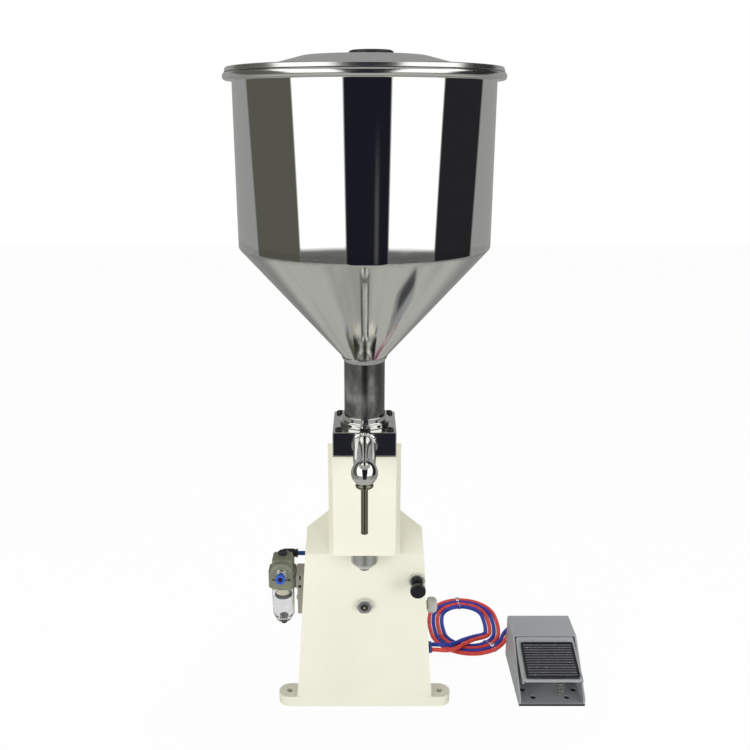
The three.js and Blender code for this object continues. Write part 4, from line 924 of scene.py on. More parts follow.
class FILLER_OT_hoses(Operator):
    """Red and blue hose, each in one length from port to port, and the ties round their coil."""

    bl_idname = "filler.hoses"
    bl_label = "Hoses"

    def execute(self, context):
        self.hose = context.scene.filler_hoses
        looks = paints()
        for lane, name in enumerate(("blue", "red")):
            route = self.route(name, lane)
            self.add_hose(name, route, looks[name])
        self.add_ties(looks["clear"])
        return {"FINISHED"}

    def turn_at(self, step):
        return (step + 0.5) * 2 * math.pi / self.hose.steps_per_loop

    def coil_point(self, lane, step):
        """Middle of a hose at a step of the coil, in the blue hose's lane 0 or the red one's lane 1."""
        hose = self.hose
        turn = (step - FIRST_STEP) / hose.steps_per_loop
        around = self.turn_at(step)
        radius = hose.inner_radius + (lane + 2 * turn) * hose.spacing
        settle = min((step - FIRST_STEP) / hose.descent, 1)
        height = hose.rest + hose.climb * (1 + math.cos(math.pi * settle)) / 2
        side = math.copysign(hose.straight_half, math.sin(around))
        return Vector(
            (hose.coil_x + radius * math.cos(around), hose.coil_y + radius * math.sin(around) + side, height)
        )

    def route(self, name, lane):
        """Port, listed lead, coil, listed tail and the pedal's port."""
        _, port_high, port = box_of(f"hose_port_{name}")
        gap = 0.3 * MM
        start = Vector((port_high.x + gap, port.y, port.z))
        points = [start] + [Vector(point) * MM for point in LEADS[name]]
        coil = [self.coil_point(lane, FIRST_STEP + step) for step in range(self.hose.steps + 1)]
        points += [self.run_out(coil[0], FIRST_STEP, -1)] + coil
        points += [self.run_out(coil[-1], FIRST_STEP + self.hose.steps, 1)]
        points += [Vector(point) * MM for point in TAILS[name]]
        _, high, middle = box_of(f"pedal_port_{name}")
        for millimetres in (18, 6, 0):
            points.append(Vector((middle.x, high.y + gap + millimetres * MM, middle.z)))
        return points

    def run_out(self, point, step, way):
        """The end of the straight run past the first or last point of the coil."""
        around = self.turn_at(step)
        return point + Vector((-math.sin(around), math.cos(around), 0)) * way * 2 * HOSE_RADIUS

    def add_hose(self, name, route, finish):
        curve = bpy.data.curves.new(f"hose_{name}", "CURVE")
        curve.dimensions = "3D"
        curve.bevel_depth = HOSE_RADIUS
        curve.bevel_resolution = 5
        curve.resolution_u = 6
        curve.use_fill_caps = True
        spline = curve.splines.new("BEZIER")
        spline.bezier_points.add(len(route) - 1)
        for point, where in zip(spline.bezier_points, route):
            point.co = where
            point.handle_left_type = point.handle_right_type = "AUTO"
        curve.materials.append(finish)
        hose = placed(f"hose_{name}", curve)
        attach(hose, "stand")
        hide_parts(f"hose_lead_{name}", f"hose_coil_{name}", f"hose_tail_{name}")
        bpy.context.view_layer.update()

    def add_ties(self, finish):
        """Nylon ties: one round the far side of the coil and one round its near right side."""
        hose = self.hose
        for name, step in (("hose_tie_far", 6), ("hose_tie_near", 20)):
            around = self.turn_at(step)
            outward = Vector((math.cos(around), math.sin(around), 0))
            inner = self.coil_point(0, step)
            wound_twice = step + hose.steps_per_loop <= hose.steps + FIRST_STEP
            outer = inner + outward * hose.spacing * (3 if wound_twice else 1)
            inner.z = outer.z = hose.rest
            middle = (inner + outer) / 2
            half = (outer - inner).length / 2 + HOSE_RADIUS + hose.tie_thickness
            tall = HOSE_RADIUS + hose.tie_thickness
            low = hose.rest - tall
            tall = tall + min(low, 0) / 2
            outline = fillet(corners_of(half, tall, tall * 0.92))
            hole = fillet(corners_of(half - hose.tie_thickness, tall - hose.tie_thickness * 0.8, tall * 0.7))
            turn = turned_to(outward, UP, outward.cross(Vector(UP)))
            place = Matrix.Translation(middle + Vector((0, 0, max(-low, 0) / 2))) @ turn
            loop = band(outline, hole, hose.tie_width, place)
            head = blunt_box((-2.6 * MM, -2.0 * MM, -2.4 * MM), (2.6 * MM, 2.0 * MM, 2.4 * MM), 0.7 * MM)
            head.transform(place @ at(half * 0.3, tall + 1.2 * MM, 0))
            piece(name, merged(loop, head), finish)


class HopperSettings(PropertyGroup):
    wall: size("Wall", 1.2, "Thickness of the sheet")
    radius: size("Radius", 140.4, "Outside radius of the cylinder")
    neck_radius: size("Neck Radius", 24, "Outside radius of the neck")
    neck_length: size("Neck Length", 77, "Height of the neck")
    cone_height: size("Cone Height", 132, "Height of the cone")
    bead_height: size("Bead Height", 8, "Height of the rolled rim")
    bead_radius: size("Bead Radius", 150, "Outside radius of the rolled rim")
    roll: size("Roll", 3.4, "Rounding of the rolled rim")
    fold: size("Fold", 5, "Rounding where the cylinder turns into the cone")
    belt: size("Belt Height", 9, "Height of the brushed belt above the fold")
    weld: size("Weld Width", 4.2, "Width of the weld between neck and cone")
    lid_radius: size("Lid Radius", 148, "Outside radius of the lid")
    lid_sheet: size("Lid Sheet", 1.3, "Thickness of the lid")
    lid_band: size("Lid Band", 3.5, "Height of the band at the lid's edge")
    lid_rise: size("Lid Rise", 3.2, "Rise of the lid's outer slope")
    lid_step: size("Lid Step", 8.6, "Rise of the lid's inner step")
    step_outer: size("Step Outer Radius", 100, "Radius at the foot of the step")
    step_inner: size("Step Inner Radius", 67, "Radius at the top of the step")
    steps: count("Steps Around", 144, "Faces round the hopper")


class FILLER_OT_hopper(Operator):
    """Hopper with its rolled rim and its neck's weld, and the union ring that clamps the neck."""

    bl_idname = "filler.hopper"
    bl_label = "Hopper"

    def execute(self, context):
        self.hopper = context.scene.filler_hopper
        self.low, self.high, middle = box_of("hopper")
        self.axis = at(middle.x, middle.y, 0)
        self.cone_foot = self.low.z + self.hopper.neck_length
        self.fold_z = self.cone_foot + self.hopper.cone_height
        looks = paints()
        steel = tuple(context.scene.filler_paint.steel)
        heights = (self.cone_foot, self.fold_z, self.high.z - self.hopper.bead_height)
        skin = hopper_steel("Hopper_Steel", steel, middle.y, heights, self.hopper.belt)
        piece("hopper_shell", self.shell(), skin, stands_for=["hopper"])
        weld = machined("Weld_Steel", shade(steel, 0.92), 0.3, (1, 1, 1))
        piece("hopper_neck_weld", self.weld(), weld)
        piece("hopper_union", self.union(), looks["steel"], stands_for=["union_ring"])
        return {"FINISHED"}

    def shell(self):
        h = self.hopper
        rim_foot = self.high.z - h.bead_height
        corners = [
            (h.neck_radius - h.wall, self.low.z),
            (h.neck_radius, self.low.z),
            (h.neck_radius, self.cone_foot, h.fold),
            (h.radius, self.fold_z, h.fold),
            (h.radius, rim_foot, 0.8 * MM),
            (h.bead_radius, rim_foot, h.roll),
            (h.bead_radius, self.high.z, h.roll),
            (h.radius - h.wall, self.high.z, h.roll),
            (h.radius - h.wall, self.fold_z, h.fold),
            (h.neck_radius - h.wall, self.cone_foot, h.fold),
        ]
        return turned_ring(corners, 7, h.steps, self.axis)

    def weld(self):
        """A low uneven bead round the top of the neck."""
        h = self.hopper
        half = h.weld / 2
        z = self.cone_foot - half * 0.4
        corners = [
            (h.neck_radius - h.wall / 2, z - half),
            (h.neck_radius + 0.25 * MM, z - half, 0.2 * MM),
            (h.neck_radius + 1.5 * MM, z + 0.3 * MM, 1.6 * MM),
            (h.neck_radius + h.weld * 0.8, z + half + 1.6 * MM, 0.3 * MM),
            (h.neck_radius - h.wall / 2, z + half),
        ]
        bm = turned_ring(corners, 4, 180)
        for vert in bm.verts:
            turn = math.atan2(vert.co.y, vert.co.x)
            ripple = math.sin(turn * 44 + 1.5 * math.sin(turn * 5)) + 0.6 * math.sin(turn * 17 + 2)
            swell = 0.14 * MM * ripple
            away = math.hypot(vert.co.x, vert.co.y)
            if away > h.neck_radius:
                vert.co.x *= 1 + swell / away
                vert.co.y *= 1 + swell / away
                vert.co.z += 0.35 * MM * math.sin(turn * 9 + 1) * (vert.co.z - self.low.z > h.neck_length)
        bm.transform(self.axis)
        return bm

    def union(self):
        """A flange and a collar round the neck, and the web with the inlet port."""
        low, high, middle = box_of("union_ring")
        port = box_of("inlet_ball")[2]
        flange, collar, flange_top = 30 * MM, 26.5 * MM, low.z + 5 * MM
        bore = self.hopper.neck_radius + 0.3 * MM
        corners = [
            (bore, low.z + 0.5 * MM),
            (bore, low.z),
            (flange, low.z, 0.6 * MM),
            (flange, flange_top, 0.9 * MM),
            (collar, flange_top, 1.2 * MM),
            (collar, high.z, 0.8 * MM),
            (bore, high.z, 0.4 * MM),
        ]
        ring = turned_ring(corners, 4, 96, self.axis)
        web_height = 3 * MM
        web = band(
            circle(bore + 0.4 * MM),
            circle(4 * MM, (0, port.y - middle.y)),
            web_height,
            self.axis @ at(0, 0, low.z + web_height / 2),
        )
        return merged(ring, web)


class FILLER_OT_lid(Operator):
    """Pressed lid and its handle."""

    bl_idname = "filler.lid"
    bl_label = "Lid"

    def execute(self, context):
        h = context.scene.filler_hopper
        looks = paints()
        low, _, middle = box_of("hopper_lid")
        axis = at(middle.x, middle.y, 0)
        slope = low.z + h.lid_band + h.lid_sheet
        step = slope + h.lid_rise
        crown = step + h.lid_step
        sheet = h.lid_sheet
        corners = [
            (0, crown),
            (h.step_inner, crown, 9 * MM),
            (h.step_outer, step, 6 * MM),
            (h.lid_radius - sheet, slope, 2.2 * MM),
            (h.lid_radius, low.z, 0.4 * MM),
            (h.lid_radius - sheet, low.z),
            (h.lid_radius - sheet * 1.6, slope - sheet, 1.2 * MM),
            (h.step_outer, step - sheet, 6 * MM),
            (h.step_inner, crown - sheet, 9 * MM),
            (0, crown - sheet),
        ]
        shell = turned(corners, 6, h.steps, axis)
        steel = tuple(context.scene.filler_paint.steel)
        skin = polished("Lid_Steel", steel, 0.2, (1, 1, 12), 0.0001)
        piece("lid_shell", shell, skin, "lid", ["hopper_lid"])
        piece("lid_grip", self.grip(), looks["black"], "lid", ["lid_handle"])
        piece("lid_grip_screw", self.screw(), looks["turned"], "lid")
        return {"FINISHED"}

    def grip(self):
        """A flat knob with a dished top and shallow finger notches round it."""
        low, high, middle = box_of("lid_handle")
        radius = middle.x - low.x
        tall = high.z - low.z
        corners = [
            (0, 0),
            (radius * 0.78, 0, 0.8 * MM),
            (radius, tall * 0.4, 1.4 * MM),
            (radius, tall * 0.78, 1.2 * MM),
            (radius * 0.88, tall, 1.4 * MM),
            (radius * 0.7, tall, 1.2 * MM),
            (radius * 0.52, tall * 0.78, 1.2 * MM),
            (0, tall * 0.78),
        ]
        bm = turned(corners, 4, 96)
        pinch(bm, lambda turn: 1 - 0.035 * max(0, math.cos(turn * 12)) ** 3, radius * 0.86)
        bm.transform(at(middle.x, middle.y, low.z))
        return bm

    def screw(self):
        low, high, middle = box_of("lid_handle")
        foot = low.z + (high.z - low.z) * 0.76
        corners = mm([(0, 0), (4.2, 0), (4.2, 0.7, 0.3), (2.4, 1.1, 0.8), (1.2, 1.15), (1.2, 0.5), (0, 0.5)])
        return turned(corners, 3, 32, at(middle.x, middle.y, foot))


class StandSettings(PropertyGroup):
    fold: size("Fold", 3, "Rounding of the folded sheet's edges")
    cover_screw_radius: size("Cover Screw Radius", 4, "Radius of a rear cover screw's head")
    cover_screw_inset: size("Cover Screw Inset", 8, "Distance of the rear cover's screws from its edges")
    wall_half: size("Side Wall", 90.55, "Distance from the middle to the side wall above the ears")
    weld_radius: size("Ear Weld", 2.4, "Size of the fillet between ears and side walls")
    collar_radius: size("Collar Radius", 17.8, "Radius of the collar under the head box")
    thread_pitch: size("Thread Pitch", 1.25, "Pitch of the stud's thread")
    thread_depth: size("Thread Depth", 0.35, "Depth of the threads")


class FILLER_OT_stand(Operator):
    """Casing, head box, rear cover with its screws, and the welds of the ears."""

    bl_idname = "filler.stand"
    bl_label = "Stand"

    def execute(self, context):
        self.stand = context.scene.filler_stand
        looks = paints()
        cream = looks["cream"]
        casing = from_node("casing", self.stand.fold, 3, least=5 * MM)
        piece("stand_casing", casing, cream, stands_for=["casing"])
        box = from_node("head_box", self.stand.fold, 3, least=20 * MM)
        piece("stand_head", box, cream, stands_for=["head_box"])
        low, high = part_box("rear_cover")
        cover = blunt_box(low, high, 0.6 * MM)
        piece("stand_rear_cover", cover, cream, stands_for=["rear_cover"])
        piece("stand_cover_screws", self.cover_screws(low, high), looks["zinc"])
        piece("stand_ear_welds", self.ear_welds(), cream)
        return {"FINISHED"}

    def cover_screws(self, low, high):
        """Pan head screws with a cross slot at the cover's corners and halfway up."""
        radius, inset = self.stand.cover_screw_radius, self.stand.cover_screw_inset
        screws = []
        for x in (low.x + inset, high.x - inset):
            for z in (low.z + inset, (low.z + high.z) / 2, high.z - inset):
                screws.append(pan_screw(radius, facing((x, high.y, z), BACKWARD)))
        return merged(*screws)

    def ear_welds(self):
        """A fillet along the foot of each side wall, above the ear."""
        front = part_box("casing")[0].y
        leg = self.stand.weld_radius
        wall = self.stand.wall_half
        welds = []
        for side in (-1, 1):
            outline = [(0, 0), (leg, 0), (leg * 0.3, leg * 0.3), (0, leg)]
            turn = turned_to((side, 0, 0), UP, BACKWARD)
            weld = slab(outline, 27 * MM, at(side * wall, front + 1 * MM, 15 * MM) @ turn)
            clean(weld)
            welds.append(weld)
        return merged(*welds)


def pan_screw(radius, place=Matrix()):
    """A screw head with a cross slot, standing on the XY plane."""
    tall = radius * 0.55
    corners = [
        (0, -tall * 0.3),
        (radius, -tall * 0.3),
        (radius, tall * 0.35, radius * 0.12),
        (radius * 0.72, tall, radius * 0.4),
        (radius * 0.46, tall),
        (radius * 0.12, tall * 0.4),
        (0, tall * 0.4),
    ]
    bm = turned(corners, 3, 24)
    pinch(bm, lambda turn: 1 - 0.55 * abs(math.sin(2 * turn)), radius * 0.3, radius * 0.6, tall * 0.9)
    clean(bm)
    bm.transform(place)
    return bm


def threaded(radius, length, pitch, depth, chamfer):
    """Profile of a threaded rod's side from its foot to its end."""
    turns = int((length - chamfer) / pitch)
    profile = [(radius - depth, 0)]
    for turn in range(turns):
        foot = turn * pitch
        profile += [(radius, foot + pitch * 0.4), (radius, foot + pitch * 0.6)]
        profile.append((radius - depth, foot + pitch))
    return profile + [(radius - depth, length - chamfer), (radius - depth - chamfer * 0.6, length)]


class FILLER_OT_block(Operator):
    """Valve block with its screws, spout, round elbow and nozzle."""

    bl_idname = "filler.block"
    bl_label = "Valve Block"

    def execute(self, context):
        self.looks = paints()
        steel = shade(context.scene.filler_paint.steel, 0.9)
        block_steel = polished("Block_Steel", steel, 0.09, (1, 1, 8))
        body = from_node("valve_block", 1.1 * MM, 3, least=20 * MM)
        piece("block_body", body, block_steel, stands_for=["valve_block"])
        for index in range(1, 5):
            self.add_screw(index)
        self.add_spout()
        self.add_ball()
        self.add_nozzle()
        return {"FINISHED"}

    def add_screw(self, index):
        """Cap screw with a hexagon socket."""
        node = f"block_screw_{index}"
        low, high, middle, radius = round_box(node)
        head = 2.6 * MM
        corners = [
            (2.3 * MM, high.z - head / 2),
            (2.3 * MM, high.z, 0.3 * MM),
            (radius, high.z, 0.7 * MM),
            (radius, high.z - head),
            (2.6 * MM, high.z - head),
            (2.6 * MM, low.z, 0.4 * MM),
            (0, low.z),
            (0, high.z - head / 2),
        ]
        bm = lathe(fillet(corners[:-1], 3, closed=False) + [Vector(corners[-1])], 48, ring=True)
        pinch(bm, lambda turn: 0.9 * to_flats(turn, 6), 1 * MM, 3 * MM, high.z - head * 0.55)
        bm.transform(at(middle.x, middle.y, 0))
        piece(f"block_cap_screw_{index}", bm, self.looks["oxide"], stands_for=[node])

    def add_spout(self):
        low, high, middle, radius = round_box("spout_tube")
        length = high.y - low.y
        corners = [
            (7 * MM, 0),
            (radius + 2.6 * MM, 0, 0.3 * MM),
            (radius + 0.9 * MM, 1.8 * MM, 1.5 * MM),
            (radius, 3.4 * MM, 1.2 * MM),
            (radius, length - 1.5 * MM, 0.5 * MM),
            (radius + 0.5 * MM, length, 0.3 * MM),
            (7 * MM, length),
        ]
        place = facing((middle.x, high.y, middle.z), FORWARD)
        tube = turned_ring(corners, 4, 80, place)
        for vert in tube.verts:
            back = high.y - vert.co.y
            across = Vector((vert.co.x - middle.x, vert.co.z - middle.z))
            if back < 3 * MM and across.length > radius:
                turn = math.atan2(across.y, across.x)
                share = 1 + 0.018 * math.sin(turn * 26 + 2 * math.sin(turn * 3))
                vert.co.x = middle.x + across.x * share
                vert.co.z = middle.z + across.y * share
        tube_steel = polished("Spout_Steel", tuple(bpy.context.scene.filler_paint.steel), 0.08, (1, 12, 1))
        piece("spout_pipe", tube, tube_steel, stands_for=["spout_tube"])

    def add_ball(self):
        """The spout's round end, a ball that is flat behind where the tube runs into it."""
        low, high, middle, radius = round_box("spout_elbow")
        centre_y = low.y + radius
        flat = high.y - centre_y
        edge = math.asin(flat / radius)
        steps = 26
        profile = [(0, flat)]
        for step in range(steps + 1):
            turn = edge - (edge + math.pi / 2) * step / steps
            profile.append((radius * math.cos(turn), radius * math.sin(turn)))
        ball = lathe(profile, 80, facing((middle.x, centre_y, high.z - radius), BACKWARD))
        piece("spout_ball", ball, self.looks["steel"], stands_for=["spout_elbow"])

    def add_nozzle(self):
        low, high, middle, radius = round_box("nozzle_nut")
        tall = high.z - low.z
        corners = [
            (4.2 * MM, 0),
            (radius - 0.6 * MM, 0, 0.3 * MM),
            (radius, 0.7 * MM, 0.3 * MM),
            (radius, tall - 0.2 * MM, 0.4 * MM),
            (radius - 1.2 * MM, tall + 0.9 * MM),
            (4.2 * MM, tall + 0.9 * MM),
        ]
        nut = turned_ring(corners, 3, 72, at(middle.x, middle.y, low.z))
        bronze = polished("Nozzle_Steel", (0.3, 0.295, 0.225), 0.2, (1, 1, 0.3), 0.00001)
        piece("nozzle_ring", nut, bronze, stands_for=["nozzle_nut"])
        low, high, middle, radius = round_box("nozzle")
        corners = [
            (2.8 * MM, low.z, 0.2 * MM),
            (radius, low.z, 0.4 * MM),
            (radius, high.z, 0.3 * MM),
            (2.8 * MM, high.z),
        ]
        pipe = turned_ring(corners, 3, 48, at(middle.x, middle.y, 0))
        piece("nozzle_pipe", pipe, bronze, stands_for=["nozzle"])


class FILLER_OT_drive(Operator):
    """Gland collar, piston rod, and the stud's end with its nut; the stud's end is dark round a nickel tip, a
    painted dark reflection round a painted highlight.
    """

    bl_idname = "filler.drive"
    bl_label = "Drive"

    def execute(self, context):
        stand = context.scene.filler_stand
        looks = paints()
        low, high, middle = box_of("gland_collar")
        flange, radius = (high.x - low.x) / 2, stand.collar_radius
        corners = [
            (7.3 * MM, low.z + 0.8 * MM),
            (8.3 * MM, low.z),
            (radius * 0.62, low.z, 1 * MM),
            (radius, low.z + 7 * MM, 6 * MM),
            (radius, high.z - 3 * MM),
            (flange, high.z - 3 * MM, 0.4 * MM),
            (flange, high.z, 0.4 * MM),
            (7.3 * MM, high.z),
        ]
        collar = turned_ring(corners, 5, 96, at(middle.x, middle.y, 0))
        piece("drive_gland", collar, looks["nickel"], stands_for=["gland_collar"])
        low, high, middle, radius = round_box("piston_rod")
        corners = [(0, low.z), (radius, low.z, 1 * MM), (radius, high.z, 0.3 * MM), (0, high.z)]
        rod = turned(corners, 3, 48, at(middle.x, middle.y, 0))
        piece("drive_piston_rod", rod, looks["steel"], "piston", ["piston_rod"])
        low, high, middle = box_of("stud_nut")
        flats = high.x - low.x
        tall = 6.8 * MM
        nut = hexagon_nut(flats, tall, 5.2 * MM, facing((middle.x, low.y + tall, middle.z), FORWARD))
        piece("drive_stud_nut", nut, looks["nickel"], stands_for=["stud_nut"])
        # The stud's end has the dark oxide finish and a small nickel tip: a painted dark reflection round a
        # painted highlight.
        root = low.y + 6 * MM
        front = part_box("cylinder_bracket")[0].y - 0.15 * MM
        length = root - front
        thread = threaded(5.12 * MM, length, stand.thread_pitch, stand.thread_depth, 0.8 * MM)
        profile = [(0, 0)] + thread + [(0, length)]
        end = lathe(profile, 48, facing((middle.x, root, middle.z), FORWARD))
        piece("drive_stud_end", end, looks["oxide"])
        tip_highlight = [(0, -0.3 * MM), (1.9 * MM, -0.3 * MM), (1.9 * MM, 0.15 * MM, 0.1 * MM), (0, 0.35 * MM)]
        tip = turned(tip_highlight, 3, 24, facing((middle.x, front, middle.z), FORWARD))
        piece("drive_stud_tip_highlight", tip, looks["nickel"])
        return {"FINISHED"}


class FittingSettings(PropertyGroup):
    collet_radius: size("Collet Radius", 6.4, "Radius of a push-in fitting's release collet")
    fitting_radius: size("Fitting Radius", 6.8, "Radius of the front fitting's body")
    valve_pitch: size("Valve Thread Pitch", 1.5, "Pitch of the panel valve's thread")
    grip_ribs: count("Grip Ribs", 24, "Ribs round the regulator's knob")
    bowl_wall: size("Bowl Wall", 2.2, "Thickness of the clear bowl")
    boss_flats: size("Boss Flats", 28.4, "Width of the regulator's octagonal boss across its flats")
    body_depth: size("Regulator Depth", 30, "Depth of the regulator's body without its boss")
    bonnet_width: size("Bonnet Width", 26, "Width of the regulator's bonnet")
    bonnet_front: size("Bonnet Front", 11, "How far the bonnet reaches in front of the body's middle")
    bonnet_back: size("Bonnet Back", 14, "How far the bonnet reaches behind the body's middle")
    bonnet_height: size("Bonnet Height", 16.5, "Height of the regulator's bonnet")
    seam_drop: size("Seam Drop", 8, "How far the castings' seam lies below the ports' middle")
    barrel_outside: size("Barrel Outside", 10, "How far the panel valve's threaded barrel stands out")
    knob_length: size("Knob Length", 9, "Length of the panel valve's knob")
    silencer_neck: size("Silencer Neck", 2.6, "Length of the silencer's neck outside the wall")


def push_fitting(body_radius, body_length, collet_radius, end, bore, foot=0.0):
    """Profiles of a push-in fitting along +Z: its body, and the collet that stands out of it."""
    body = [
        (bore, foot),
        (body_radius * 0.93, foot),
        (body_radius * 0.93, foot + 1 * MM, 0.3 * MM),
        (body_radius, foot + 1.6 * MM, 0.3 * MM),
        (body_radius, body_length - 1.1 * MM, 0.7 * MM),
        (body_radius * 0.9, body_length, 0.4 * MM),
        (bore, body_length),
    ]
    collet = [
        (bore, body_length - 1 * MM),
        (collet_radius * 0.86, body_length - 1 * MM),
        (collet_radius * 0.86, end - 2.2 * MM, 0.3 * MM),
        (collet_radius, end - 1.8 * MM, 0.3 * MM),
        (collet_radius, end, 0.5 * MM),
        (bore + 0.8 * MM, end, 0.3 * MM),
        (bore, end - 0.8 * MM),
    ]
    return fillet(body, 3), fillet(collet, 3)


class FILLER_OT_air_valve(Operator):
    """Push-pull air valve in the panel and the silencer in the side wall."""

    bl_idname = "filler.air_valve"
    bl_label = "Air Valve"

    def execute(self, context):
        fit = context.scene.filler_fittings
        looks = paints()
        panel = box_of("valve_nut")[1].y + 0.3 * MM
        centre = box_of("valve_knob")[2]
        outside = fit.barrel_outside
        corners = [(0, -30 * MM), (6.9 * MM, -30 * MM, 0.5 * MM), (6.9 * MM, -0.2 * MM)]
        thread = threaded(7.3 * MM, outside, fit.valve_pitch, 0.3 * MM, 0.7 * MM)
        side = [(radius, z - 0.2 * MM) for radius, z in thread]
        profile = fillet(corners, 3, closed=False) + side
        profile += [(3.4 * MM, outside - 0.2 * MM), (3.4 * MM, outside - 5 * MM), (0, outside - 5 * MM)]
        barrel = lathe(profile, 56, facing((centre.x, panel, centre.z), FORWARD))
        piece("valve_thread", barrel, looks["black"], stands_for=["valve_barrel"])
        flats = 2 * 11 * MM * math.cos(math.pi / 6)
        nut = hexagon_nut(flats, 5 * MM, 7.1 * MM, facing((centre.x, panel, centre.z), FORWARD))
        piece("valve_hexagon", nut, looks["nickel"], stands_for=["valve_nut"])
        low, high, middle, radius = round_box("valve_knob")
        long = high.y - low.y
        back = long - fit.knob_length
        corners = [
            (0, 0),
            (2.9 * MM, 0),
            (2.9 * MM, back - 5 * MM, 0.3 * MM),
            (3.6 * MM, back - 4.4 * MM, 0.3 * MM),
            (3.6 * MM, back, 1.2 * MM),
            (radius * 0.84, back + 1.8 * MM, 1.4 * MM),
            (radius, back + 4.2 * MM, 1.4 * MM),
            (radius, long - 1.1 * MM, 1 * MM),
            (radius * 0.9, long, 0.7 * MM),
            (radius * 0.84, long - 0.4 * MM, 0.5 * MM),
            (0, long - 0.4 * MM),
        ]
        knob = turned(corners, 4, 72, facing((middle.x, high.y, middle.z), FORWARD))
        gloss = finish_of("Gloss_Black", moulded, context.scene.filler_paint.black, rough=0.24, grain=0.00001)
        piece("valve_push_button", knob, gloss, "push_knob", ["valve_knob"])
        self.add_silencer(fit, context.scene.filler_paint.pale)
        return {"FINISHED"}

    def add_silencer(self, fit, base):
        """A threaded neck in the wall and a domed cap that the air leaves through."""
        low, high, middle = box_of("silencer")
        radius = (high.z - low.z) / 2
        wall = high.x - 15.2 * MM
        long = high.x - wall
        corners = [
            (0, -7 * MM),
            (5.8 * MM, -7 * MM, 0.6 * MM),
            (5.8 * MM, fit.silencer_neck),
            (radius * 0.93, fit.silencer_neck, 1.4 * MM),
            (radius, long * 0.4, 2.4 * MM),
            (radius, long * 0.74, 4 * MM),
            (radius * 0.74, long, 3.6 * MM),
            (radius * 0.4, long, 0.8 * MM),
            (radius * 0.34, long - 0.6 * MM, 0.4 * MM),
            (0, long - 0.6 * MM),
        ]
        body = turned(corners, 6, 64, facing((wall, middle.y, middle.z), RIGHT))
        finish = finish_of("Silencer_Plastic", moulded, base, rough=0.5, grain=0.00003, scale=900)
        piece("silencer_body", body, finish, stands_for=["silencer"])


